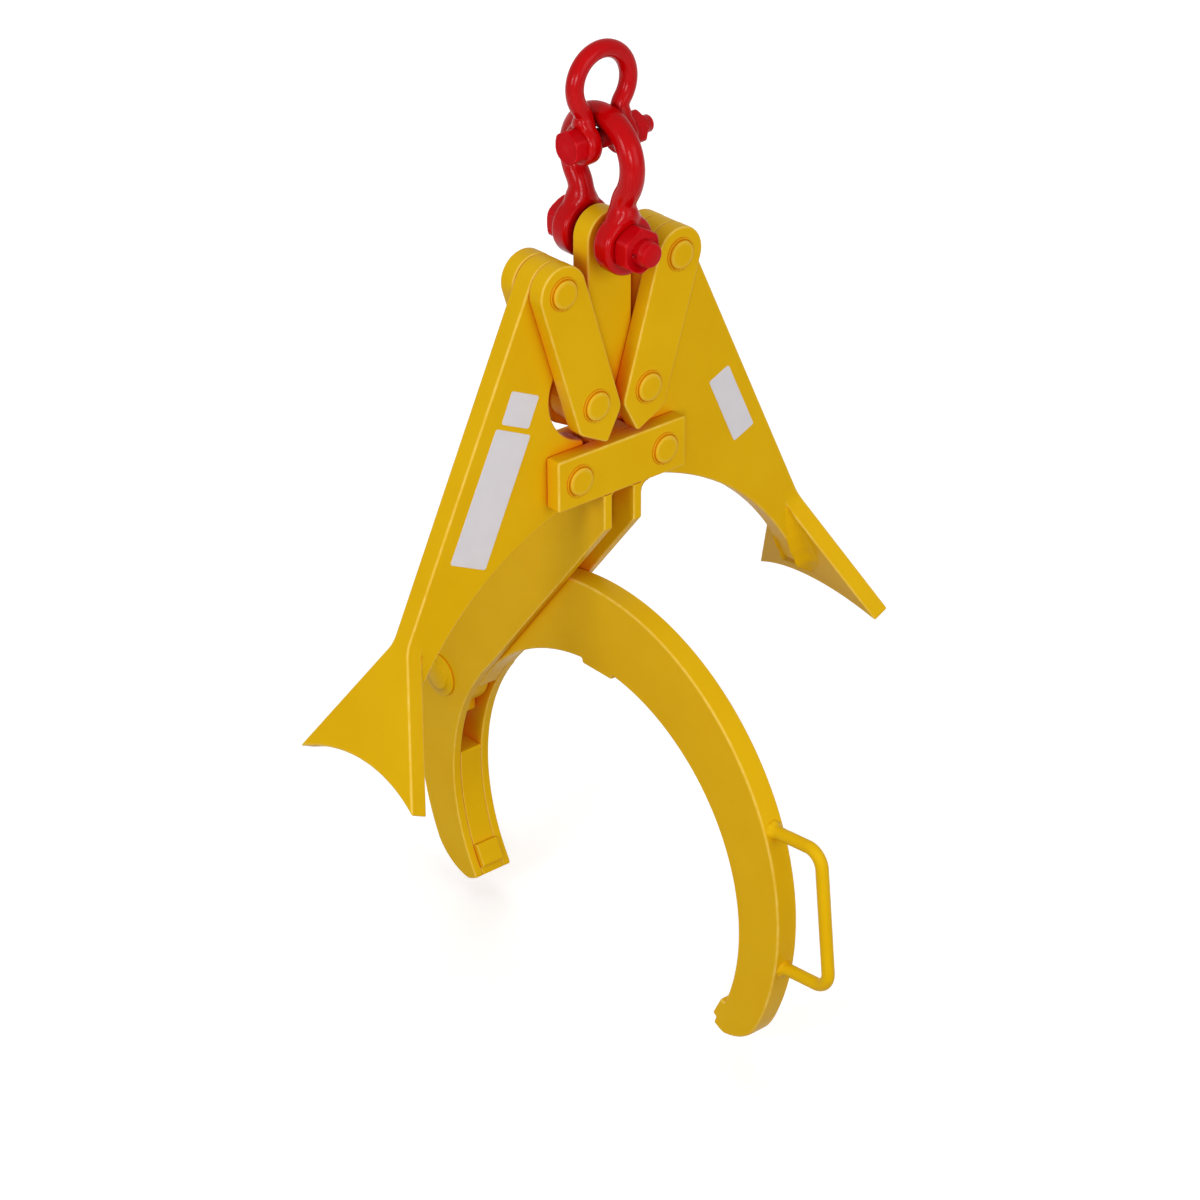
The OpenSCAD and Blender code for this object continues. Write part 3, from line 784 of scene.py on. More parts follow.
class Studio:
    """Builds objects from surfaces, with their finishes, nodes and bodies."""

    def __init__(self) -> None:
        shared = SharedNodes()
        self.finishes = {slot: paint.build(shared) for slot, paint in PAINTS.items()}
        self.label = Label().build(shared)
        self.floor = Backdrop().build(shared)

    def mesh(self, name: str, surface: Surface, material: bpy.types.Material) -> bpy.types.Object:
        """A finished object from a surface in millimetres above the pipe's axis."""
        mesh = bpy.data.meshes.new(name)
        points = (surface.points - np.array([0, 0, SIZE.hang_z])) / MM_PER_M
        mesh.from_pydata(points.tolist(), [], surface.faces)
        # The edge attribute holds each point's painted highlight or painted shade.
        edge = mesh.attributes.new("edge", "FLOAT", "POINT")
        edge.data.foreach_set("value", surface.edge.astype(np.float32))
        mesh.polygons.foreach_set("use_smooth", np.ones(len(mesh.polygons), bool))
        mesh.materials.append(material)
        mesh.update()
        if surface.normals is not None:
            mesh.normals_split_custom_set_from_vertices(surface.normals.tolist())
        piece = bpy.data.objects.new(name, mesh)
        bpy.context.scene.collection.objects.link(piece)
        return piece

    def piece(self, name: str, surface: Surface, slot: Slot, body: str, *nodes: str) -> bpy.types.Object:
        """An object that rides on a body and stands for CAD nodes."""
        piece = self.mesh(name, surface, self.finishes[slot])
        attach(piece, body)
        if nodes:
            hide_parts(*nodes)
        LOG.info("%s: %d faces", name, len(surface.faces))
        return piece

    def keep(self, frame: dict, slot: Slot, *nodes: str) -> None:
        """Give CAD nodes that stay in view their finish."""
        for name in nodes:
            node = frame["nodes"][name]
            node.data.materials.clear()
            node.data.materials.append(self.finishes[slot])


@dataclass(frozen=True)
class Linkage:
    """Legs, saddles, links and lifting plate."""

    size: Sizes = SIZE
    leg_t: float = 22.0
    leg_eye_r: float = 26.5
    arch: Triple = (-21.6, 111.0, 298.0)
    notch: Triple = (25.2, 511.3, 48.8)
    leg_end_x: float = 33.0
    foot_inner: Pair = (251.0, 229.5)
    foot_z: float = 219.5
    saddle_t: float = 19.0
    saddle_r: float = 204.7
    saddle_half: float = 86.5
    neck_end: float = 16.3
    flare: float = 29.1
    lap: float = 4.4
    weld_drop: float = 19.0
    weld_l: float = 94.0
    weld_r: float = 14.0
    weld_least: float = 2.0
    weld_fade: float = 20.0
    link_r: float = 26.8
    link_w: float = 53.0
    link_heel: float = 18.0
    link_point: float = 44.0
    lift_w: float = 53.0
    lobe_r: float = 24.0
    flare_z: float = 545.0
    lower_bolt_z: float = 657.0
    rim: float = 2.2
    label_proud: float = 0.3

    def step(self) -> np.ndarray:
        """Corner where the leg steps in behind its saddle, in X and Z."""
        return self.size.seam() - self.saddle_t * self.size.edge_out()

    def leg(self) -> Surface:
        """The right leg, whose edge runs on inside the saddle so that no seam shows."""
        s = self.size
        top = np.array(s.top_pin) + self.leg_eye_r * s.edge_out()
        seam = s.seam() + self.lap / 2 * s.edge_dir()
        inside = seam + self.lap / 2 * (s.edge_dir() - s.edge_out())
        step = inside - (self.saddle_t - 1.5 * self.lap) * s.edge_out()
        foot = step + s.edge_dir() * (step[1] - self.foot_z) / np.cos(np.radians(s.lean))
        body = poly(
            top, (s.top_pin[0] - 0.9 * self.leg_eye_r, s.top_pin[1]), (self.leg_end_x, self.notch[1]),
            (self.leg_end_x, self.arch[1]), self.foot_inner, foot, step, inside, seam,
        )
        shape = join(disc(*s.top_pin, self.leg_eye_r), body)
        shape = cut(cut(shape, disc(*self.arch), 3), disc(*self.notch), 3)
        return Plate(shape, (25, 200), (260, 660), -self.leg_t / 2, self.leg_t / 2, self.rim).surface()

    def saddle(self) -> Surface:
        """The right saddle: neck, soft shoulders, flare with rounded tips, and the arc on the pipe."""
        s = self.size
        half_w, neck = self.saddle_half, self.leg_t / 2
        spread = np.tan(np.radians(self.flare))
        fan_end = self.neck_end + (half_w - neck) / spread
        strip = poly((-neck, -fan_end), (neck, -fan_end), (neck, 0), (-neck, 0))
        fan = poly((-half_w, -fan_end), (half_w, -fan_end), (0, -self.neck_end + neck / spread))
        crown = (self.step()[1] - self.saddle_r) / np.cos(np.radians(s.lean))
        arc_r = self.saddle_r * np.cos(np.radians(s.lean))
        shape = cut(join(strip, fan, 3.4), disc(0, -crown - arc_r, arc_r), 2.2)
        shape = meet(meet(shape, half(0, 0, 90)), half(0, -fan_end, -90), 3)
        plane = Plane(upright(s.seam()), (0, 1, 0), upright(-s.edge_dir()), upright(s.edge_out()))
        return Plate(shape, (-90, -fan_end - 3), (90, 2), -self.saddle_t, 0, self.rim, plane).surface()

    def saddle_welds(self) -> Surface:
        """Fillets between the right leg's faces and its saddle, which end at the leg's foot."""
        down = upright(self.size.edge_dir())
        start = upright(self.step()) + self.weld_drop * down
        wall = -upright(self.size.edge_out())

        def radius(t: np.ndarray) -> np.ndarray:
            fade = np.clip((1 - t) * self.weld_l / self.weld_fade, 0, 1)
            return self.weld_least + self.weld_r * np.clip(t * 2.2, 0, 1) ** 0.8 * fade

        strips = []
        for y in (-1.0, 1.0):
            at = start + np.array([0, y * self.leg_t / 2, 0])
            strips.append(Weld(at, at + self.weld_l * down, np.array([0, y, 0]), wall, radius).surface())
        return merged(strips)

    def link(self, low: float, high: float) -> Surface:
        """A right link between two Y values."""
        top, bottom = np.array(self.size.top_pin), np.array(self.size.bottom_pin)
        run = bottom - top
        span = float(np.linalg.norm(run))
        down = run / span
        across = np.array([-down[1], down[0]])
        w, heel = self.link_w / 2, -span - self.link_heel
        corners = [(self.link_r, 0), (-self.link_r, 0), (-w, heel), (0, -span - self.link_point), (w, heel)]
        shape = join(disc(0, 0, self.link_r), meet(convex(corners, 3.5), half(0, 0, 90)))
        plane = Plane(upright(top), upright(across), upright(-down))
        return Plate(shape, (-30, -span - 42), (30, 30), low, high, 2.0, plane).surface()

    def lifting_plate(self) -> Surface:
        """Plate with an eye for the shackle and a lobe for each pair of links."""
        x, z = self.size.bottom_pin
        w, r, flare, eye = self.lift_w / 2, self.lobe_r, self.flare_z, self.lower_bolt_z
        body = poly(
            (w, eye), (-w, eye), (-w, flare), (-x - r, z + 6),
            (-x, z - r), (x, z - r), (x + r, z + 6), (w, flare),
        )
        shape = join(join(body, disc(0, eye, w)), join(disc(x, z, r), disc(-x, z, r)))
        return Plate(shape, (-60, 475), (60, 690), -self.leg_t / 2, self.leg_t / 2).surface()

    def labels(self) -> list[Surface]:
        """Bare label places on the near faces of the left and the right leg."""
        places = [
            [(-194.6, 386.1), (-153.5, 366.9), (-97.0, 487.7), (-137.3, 506.3)],
            [(-131.2, 509.0), (-99.4, 494.7), (-86.1, 524.2), (-118.1, 538.7)],
            [(158.3, 400.7), (183.8, 411.7), (149.6, 484.5), (124.6, 473.6)],
        ]
        face = -self.leg_t / 2
        out = []
        for corners in places:
            low, high = np.min(corners, 0), np.max(corners, 0)
            shape, back = convex(corners, 2.5), face + 0.1
            out.append(Plate(shape, low, high, face - self.label_proud, back, 0.15, segments=3).surface())
        return out


@dataclass(frozen=True)
class WeldedPin:
    """Pin through two plates, with bevelled ends and a broken weld bead round each.

    The bead's height is h(a) = 1 round most of the pin, and falls to small bumps near its lowest point.
    The profile runs from the pin's end over its bevel to the plate, over the bead and down into the plate.
    """

    size: Sizes = SIZE
    bevel: float = 1.6
    bead: float = 1.15
    extra: float = 1.6
    slim: float = 1.4
    cols: int = 96
    gap_at: float = 270.0
    gap_half: float = 24.0
    gap_soft: float = 10.0
    bump_rate: float = 9.3
    film: float = 0.06
    light_at: float = 150.0

    def surface(self, x: float, z: float) -> Surface:
        """The pin at a place in X and Z."""
        s = self.size
        a = around(self.cols)
        away = np.abs((np.degrees(a) - self.gap_at + 180) % 360 - 180)
        full = np.clip((away - self.gap_half) / self.gap_soft, 0, 1)
        bumps = np.abs(np.sin(a * self.bump_rate))
        height = self.bead * (full * (1 + 0.05 * np.sin(a * 31)) + (1 - full) * (0.25 + 0.5 * bumps))
        top, bead_r, film, pin_r = s.pin_proud + self.extra, s.bead_r - self.slim, self.film, s.pin_r
        ring_r = (pin_r + bead_r) / 2 + 0.15
        half_w = (bead_r - pin_r) / 2 - 0.5
        profile = [
            (0.4, top), (pin_r - self.bevel - 3, top), (pin_r - self.bevel, top),
            (pin_r - 0.5 * self.bevel, top - 0.28 * self.bevel), (pin_r, top - self.bevel),
            (pin_r + 0.15, 0.1), (pin_r + 0.4, film),
        ]
        for t in np.linspace(-1, 1, 9):
            profile.append((ring_r + half_w * t, height * np.sqrt(1 - 0.999 * t * t) + film))
        profile += [(bead_r - 0.1, film), (bead_r + 0.5, 0.04), (bead_r + 0.5, -0.3), (pin_r - 1, -2.0)]
        flat = np.zeros(self.cols)
        r = np.array([radius + flat for radius, _ in profile])
        up = s.bar_out + np.array([level + flat for _, level in profile])
        # Painted shade in the creases round the bead, strongest towards light_at, and dark marks on the bumps
        # where the bead breaks; painted highlight on the end's bevel.
        shaded = 0.12 + 0.88 * np.clip(1.3 * np.cos(a - np.radians(self.light_at)) + 0.35, 0, 1)
        creases = -np.maximum(shaded * full, (1 - full) * (bumps > 0.75))
        painted_light = np.zeros(r.shape)
        painted_light[[2, 3]] = 0.5
        painted_light[[4, 5, 6, 7, 15, 16, 17]] = creases
        painted_light[[8, 14]] = 0.5 * creases
        pairs = (up, -up[::-1]), (r, r[::-1]), (painted_light, painted_light[::-1])
        heights, radii, light_and_shade = (np.concatenate(pair) for pair in pairs)
        return Turned(heights, radii, Plane((x, 0, z), (1, 0, 0), (0, 0, 1), (0, 1, 0))).surface(light_and_shade)


def pad_field(angle: float, width: float) -> Field:
    """A flat pad at an angle round the pipe, in Y and Z."""
    a = np.radians(angle)
    out, along = np.array([np.cos(a), np.sin(a)]), np.array([-np.sin(a), np.cos(a)])
    base, deep, aside = SIZE.pad_r * out, SIZE.pad_depth * out, width / 2 * along
    return convex([base - aside, base + deep - aside, base + deep + aside, base + aside], 2.6)


@dataclass(frozen=True)
class GrabFrame:
    """Crossbars, cheeks with the fixed jaw, and the welds between them."""

    size: Sizes = SIZE
    crossbar_l: float = 158.0
    crossbar_h: float = 52.0
    strip_low: float = 371.0
    outer_r: float = 266.98
    boss_r: float = 40.0
    beyond: float = 420.0
    weld_back: float = 0.6

    def crossbar(self, low: float, high: float) -> Surface:
        """A bar with eased corners between two Y values."""
        x, z = self.crossbar_l / 2, self.size.crossbar_low
        shape = convex([(-x, z), (x, z), (x, z + self.crossbar_h), (-x, z + self.crossbar_h)], 2.6)
        return Plate(shape, (-x, z), (x, z + self.crossbar_h), low, high, 2.2).surface()

    def jaw_field(self) -> Field:
        """Everything between the far jaw's nose and the cheeks' outer arc, without the toe's inside."""
        s, far = self.size, self.beyond
        (y0, z0), (y1, z1), (y2, z2) = s.toe
        bottom = -2 * s.nose[2]
        toe = poly((-y0, z0), (0, z0), (0, bottom), (-y2, bottom), (-y2, z2), (-y1, z1))
        low = poly((0, s.nose_low), (far, s.nose_low), (far, 330), (0, 330))
        return cut(meet(disc(0, s.hook_centre_z, self.outer_r), join(disc(*s.nose), low)), toe, 2.5)

    def cheek_field(self) -> Field:
        """Strip under the near crossbar, slope, boss and far jaw in Y and Z."""
        s, far, outer_r = self.size, self.beyond, self.outer_r
        a = np.arctan2(self.strip_low, -s.bar_out)
        a -= np.arccos(s.relief_r / float(np.hypot(s.bar_out, self.strip_low)))
        inner = (s.relief_r * np.cos(a), s.relief_r * np.sin(a))
        rise = s.crossbar_low - s.hook_centre_z
        b = np.arctan2(rise, s.bar_out) - np.arccos(outer_r / np.hypot(s.bar_out, rise))
        outer = (outer_r * np.cos(b), s.hook_centre_z + outer_r * np.sin(b))
        body = poly(
            (-s.bar_out, s.crossbar_low), (-s.bar_out, self.strip_low), inner, (0, 0),
            (outer[0], 0), outer, (s.bar_out, s.crossbar_low),
        )
        below = poly((inner[0], -210), (far, -210), (far, outer[1]), (inner[0], outer[1]))
        shape = join(join(body, meet(self.jaw_field(), below)), disc(*s.hinge, self.boss_r), 6)
        return cut(shape, disc(0, 0, s.relief_r), 2.5)

    def cheek(self, side: Side) -> Surface:
        """One cheek."""
        s = self.size
        face = s.cheek_in + s.cheek_t
        plate = Plate(self.cheek_field(), (-32, -145), (275, 408), s.cheek_in, face, 1.6, YZ)
        return plate.surface().mirrored(side)

    def insert(self) -> Surface:
        """Filling of the fixed jaw with its flat pad."""
        s, far = self.size, self.beyond
        body = meet(self.jaw_field(), poly((150, -205), (far, -205), (far, 18), (150, 18)))
        body = cut(body, disc(0, 0, s.relief_r), 2)
        shape = join(body, pad_field(-s.pad_angle, s.tip_pad_w))
        return Plate(shape, (140, -145), (275, 20), -s.cheek_in, s.cheek_in, 1.0, YZ).surface()

    def welds(self) -> Surface:
        """Concave fillets between the crossbars' underside and the cheeks."""
        s = self.size
        down, face = np.array([0.0, 0.0, -1.0]), s.cheek_in + s.cheek_t
        spans = ((self.weld_back - s.bar_out, -s.bar_in), (s.bar_in, s.bar_out - self.weld_back))
        lines = ((face, 1.0, 9.0), (-face, -1.0, 3.0), (s.cheek_in, -1.0, 3.2), (-s.cheek_in, 1.0, 3.2))
        strips = []
        for x, way, r in lines:
            for span in spans:
                start, end = (np.array([x, y, s.crossbar_low]) for y in span)
                size = lambda t, r=r: np.full(t.shape, r)
                strips.append(Weld(start, end, np.array([way, 0, 0]), down, size, 20).surface())
        return merged(strips)


@dataclass(frozen=True)
class Collar:
    """Hook's pivot pin with a collar on each cheek."""

    size: Sizes = SIZE
    pin_r: float = 15.0
    collar_r: float = 23.0

    def surface(self) -> Surface:
        """The closed surface, both ends and the shank."""
        s, pin, collar = self.size, self.pin_r, self.collar_r
        profile = (
            (5, 0.5), (5, pin - 1.5), (4.5, pin - 0.5), (3.5, pin), (3, pin),
            (3, collar - 1.5), (2.6, collar - 0.4), (1.6, collar), (-0.5, collar), (-0.5, pin),
        )
        h, r = np.array(profile).T
        h = s.cheek_in + s.cheek_t + h
        plane = Plane((0, *s.hinge), (0, 1, 0), (0, 0, 1), (1, 0, 0))
        return lathe(np.concatenate([h, -h[::-1]]), np.concatenate([r, r[::-1]]), plane)


@dataclass(frozen=True)
class SwingHook:
    """Swinging hook with its pads, and the bent handle welded to its outer edge."""

    size: Sizes = SIZE
    thickness: float = 25.0
    outer_r: float = 265.8
    hub_r: float = 36.0
    tail_w: float = 26.0
    tail_drop: float = 48.0
    top_pad_w: float = 44.0
    top_pad_at: float = 91.0
    beyond: float = 420.0
    handle_r: float = 6.35
    bend: float = 18.0
    toe_flare: float = 3.6
    toe_fade: float = 2.2
    path: tuple[Pair, ...] = ((-256, -15), (-324, -8.5), (-308, 136), (-228, 128.8))

    def field(self) -> Field:
        """Outline in Y and Z, from the tip round to the hub and its tail."""
        s, far = self.size, self.beyond
        y, z = s.hinge
        nose_y, nose_z, nose_r = s.nose
        toe = poly(*s.toe, (s.toe[2][0], -2 * nose_r), (0, -2 * nose_r), (0, s.toe[0][1]))
        left = poly((-far, s.nose_low), (0, s.nose_low), (0, far), (-far, far))
        right = poly((-self.hub_r, z), (far, z), (far, far), (-self.hub_r, far))
        band = join(join(disc(-nose_y, nose_z, nose_r), left), right)
        shape = meet(disc(0, s.hook_centre_z, self.outer_r), band, 2.5)
        shape = cut(cut(shape, disc(0, 0, s.relief_r), 2.5), toe, 2.5)
        low, near, away = z - self.tail_drop, y - self.tail_w / 2, y + self.tail_w / 2
        tail = convex([(near, low), (away, low), (away, z), (near, z)], 3)
        shape = join(join(shape, disc(y, z, self.hub_r), 5), tail)
        shape = join(shape, pad_field(self.top_pad_at, self.top_pad_w))
        return join(shape, pad_field(180 + s.pad_angle, s.tip_pad_w))

    def body(self) -> Surface:
        """The hook's plate."""
        t = self.thickness / 2
        return Plate(self.field(), (-275, -145), (272, 300), -t, t, 2.4, YZ).surface()

    def handle(self) -> Surface:
        """Bent rod: P(s, a) = c(s) + r(s) (cos a n + sin a x), r flaring where it is welded on."""
        line = bend_line(np.array(self.path, float), self.bend)
        along = tangents(line)
        normal = np.stack([-along[:, 1], along[:, 0]], 1)
        away = np.hypot(line[:, 0], line[:, 1] - self.size.hook_centre_z) - self.outer_r
        a = around(36)
        ripple = 1 + 0.12 * np.sin(a * 7)[None]
        r = self.handle_r + self.toe_flare * np.exp(-np.maximum(away, 0)[:, None] / self.toe_fade) * ripple
        r = np.minimum(r, self.thickness / 2 - 1)
        flat = line[:, None] + (r * np.cos(a))[..., None] * normal[:, None]
        return tube(np.concatenate([(r * np.sin(a))[..., None], flat], -1))


def bend_line(corners: np.ndarray, radius: float, spacing: float = 1.6) -> np.ndarray:
    """Polyline with each inner corner replaced by an arc of a radius, evenly spaced."""
    pieces = [corners[:1]]
    for before, corner, after in zip(corners, corners[1:], corners[2:]):
        into, away = corner - before, after - corner
        into, away = into / np.linalg.norm(into), away / np.linalg.norm(away)
        turn = np.arctan2(into[0] * away[1] - into[1] * away[0], into @ away)
        back = radius * np.tan(abs(turn) / 2)
        side = np.sign(turn) * np.array([-into[1], into[0]])
        centre = corner - back * into + radius * side
        t = np.linspace(0, turn, 24)[:, None]
        arm = -radius * side
        pieces.append(centre + np.cos(t) * arm + np.sin(t) * np.array([-arm[1], arm[0]]))
    pieces.append(corners[-1:])
    return respaced(np.vstack(pieces), spacing, closed=False)


@dataclass(frozen=True)
class Shackle:
    """Bow shackle with its bolt, head and nut, drawn with the bolt along local X at a height."""

    rod: float
    inside: float
    jaw: float
    crown: float
    ear_d: float
    bolt_d: float
    flats: float
    head_h: float
    nut_h: float
    end: float
    level: float
    turned: bool
    bulge: float
    swell: float
    rise: float
    voxel: float
    ear_extra: float = 0.6
    ear_rim: float = 5.0
    skin: float = 0.2

    def axle(self) -> Plane:
        """Plane whose thickness direction runs along the bolt."""
        base = self.plane()
        return Plane(base.origin, base.v, base.w, base.u)

    def plane(self) -> Plane:
        """Local X, Y and Z of the shackle; the lower one is turned a quarter round Z."""
        across = ((0, -1, 0), (1, 0, 0)) if self.turned else ((1, 0, 0), (0, 1, 0))
        return Plane((0, 0, self.level), *across, (0, 0, 1))

    def ear_t(self) -> float:
        """Thickness of an ear."""
        return self.rod + self.ear_extra

    def ear_x(self) -> float:
        """Distance of an ear's middle from the middle."""
        return self.jaw / 2 + self.ear_t() / 2

    def grip(self) -> float:
        """Length of the bolt between its head and its nut."""
        return self.jaw + 2 * self.ear_t()

    def line(self, arc_r: float) -> np.ndarray:
        """Middle line of the rod in X and Z: up from an ear, in to the crown's arc, round and down."""
        arc_z = self.crown + self.rise - arc_r
        neck = self.ear_d * 0.6
        rise = arc_z - neck
        neck_r = (self.ear_x() ** 2 + rise**2 - arc_r**2) / (2 * (arc_r - self.ear_x()))
        turn = np.arctan2(rise, self.ear_x() + neck_r)
        up = np.stack([np.full(12, self.ear_x()), np.linspace(0, neck, 12, endpoint=False)], 1)
        t = np.linspace(0, turn, 24, endpoint=False)
        bend = np.stack([self.ear_x() + neck_r * (1 - np.cos(t)), neck + neck_r * np.sin(t)], 1)
        t = np.linspace(-turn, np.pi + turn, 96)
        arc = np.stack([arc_r * np.cos(t), arc_z + arc_r * np.sin(t)], 1)
        mirror = np.array([-1, 1])
        return np.vstack([up, bend, arc, (bend * mirror)[::-1], (up * mirror)[::-1]])

    def bow(self) -> Surface:
        """Rod round the crown and the two ears, still to be forged into one by the caller.

        P(s, a) = c(s) + w(s) cos a n(s) + d(s) sin a y, the rod's half widths w and d swelling near the ears.
        """
        r = self.rod / 2 + self.swell
        arc_r = self.inside / 2 + r
        line = self.line(arc_r)
        along = tangents(line)
        normal = np.stack([along[:, 1], -along[:, 0]], 1)
        x, z = line[:, 0], line[:, 1]
        swollen = self.bulge * np.exp(-(((z - 0.5 * self.ear_d) / (0.13 * self.ear_d)) ** 2))
        width = r - self.skin + swollen * (np.abs(x) < arc_r)
        blend = np.clip((0.67 * self.ear_d - z) / (0.37 * self.ear_d), 0, 1)
        depth = r - self.skin + (0.36 * self.ear_d - r) * blend * blend * (3 - 2 * blend)
        a = around(40)
        flat = line[:, None] + (width[:, None] * np.cos(a))[..., None] * normal[:, None]
        rings = np.stack([flat[..., 0], depth[:, None] * np.sin(a), flat[..., 1]], -1)
        return merged([tube(self.plane().at(rings)), *self.ears()])

    def ears(self) -> list[Surface]:
        """Both ears, discs with rounded rims."""
        t, rim = quarter(6), self.ear_rim
        top = self.ear_x() + self.ear_t() / 2
        low = self.jaw / 2
        h = np.concatenate([[low], low + rim * (1 - np.sin(t[::-1])), top - rim * (1 - np.sin(t)), [top]])
        e = self.ear_d / 2
        radii = np.concatenate([[1.0], e - rim * (1 - np.cos(t[::-1])), e - rim * (1 - np.cos(t)), [1.0]])
        return [lathe(sign * h, radii, self.axle()) for sign in (-1, 1)]

    def hexagon(self, start: float, height: float, ring: bool) -> Surface:
        """Head or nut: r(a, h) is the lesser of the hexagon and the chamfer's cone."""
        a = around(144)
        flats = self.flats / 2 / np.cos((a + np.pi / 6) % (np.pi / 3) - np.pi / 6)
        wide = self.flats / 2 / np.cos(np.pi / 6)
        steps = [np.linspace(0, 0.35, 8), np.linspace(0.4, 0.65, 4), np.linspace(0.7, 1, 8)]
        h = np.concatenate([[0, 0.0], *steps, [1.0, 1.0]])
        depth = h * abs(height)
        end = np.minimum(depth, abs(height) - depth) if ring else abs(height) - depth
        cone = self.flats / 2 - 0.6 + end / np.tan(np.radians(30))
        radii = np.minimum(np.minimum(flats, wide - 0.8)[None], cone[:, None])
        radii[[0, -1]] = 1.0
        # Painted highlight on the hexagon's corners.
        painted_light = np.broadcast_to(np.clip((flats - 0.97 * wide) / (0.03 * wide), 0, 1), radii.shape)
        return Turned(start + h * height, radii, self.axle()).surface(painted_light.copy())

    def bolt(self) -> Surface:
        """Head, shank and plain end with an open cross hole, each hole a deep recess in the end."""
        start, r = -self.grip() / 2, self.bolt_d / 2
        tip = self.grip() / 2 + self.nut_h + self.end
        step = tip - self.end / 2
        hole_r, hole_x = self.bolt_d / 10, step - self.end / 4 - 1
        shank = [start - 1, start - 1, hole_x - 2.5 * hole_r]
        hole = np.linspace(hole_x - 1.4 * hole_r, hole_x + 1.4 * hole_r, 29)
        ends = [step - 1, step, step, tip - 2, tip - 1.3, tip - 0.5, tip, tip]
        h = np.concatenate([shank, hole, ends])
        slim = [r - 0.3, r - 1.2, r - 1.2, r - 1.3, r - 1.9, r - 3, 0.8]
        full = np.concatenate([[1.0, r], np.full(31, r), slim])
        a = around(180)
        radii = full[:, None] * np.ones(len(a))
        for at in (0.0, np.pi):
            gap = (a - at + np.pi) % (2 * np.pi) - np.pi
            dist = np.hypot(r * gap[None], (h - hole_x)[:, None])
            radii = np.where(dist < hole_r, np.minimum(radii, 0.35 * r), radii)
        return merged([self.hexagon(start, -self.head_h, False), Turned(h, radii, self.axle()).surface()])

    def nut(self) -> Surface:
        """The hexagon nut."""
        return self.hexagon(self.grip() / 2, self.nut_h, True)


SHACKLES = {
    "upper": Shackle(
        rod=15.6, inside=46, jaw=26.9, crown=85, ear_d=40, bolt_d=19, flats=30, head_h=13, nut_h=13, end=14,
        level=750.7, turned=False, bulge=1.5, swell=1.0, rise=-0.8, voxel=0.0011,
    ),
    "lower": Shackle(
        rod=21.4, inside=60, jaw=36.6, crown=114.3, ear_d=58, bolt_d=25.4, flats=40, head_h=15, nut_h=16,
        end=14, level=657, turned=True, bulge=2.6, swell=1.3, rise=1.3, voxel=0.0014,
    ),
}


def forged(piece: bpy.types.Object, voxel: float, passes: int = 7) -> None:
    """Run a piece's crossing surfaces into one skin and smooth their corners, for good."""
    remesh = piece.modifiers.new("skin", "REMESH")
    remesh.mode, remesh.voxel_size, remesh.use_smooth_shade = "VOXEL", voxel, True
    smooth = piece.modifiers.new("soften", "SMOOTH")
    smooth.factor, smooth.iterations = 0.5, passes
    bpy.context.view_layer.update()
    done = bpy.data.meshes.new_from_object(piece.evaluated_get(bpy.context.evaluated_depsgraph_get()))
    done.name = piece.name
    piece.modifiers.clear()
    piece.data = done
    done.polygons.foreach_set("use_smooth", np.ones(len(done.polygons), bool))


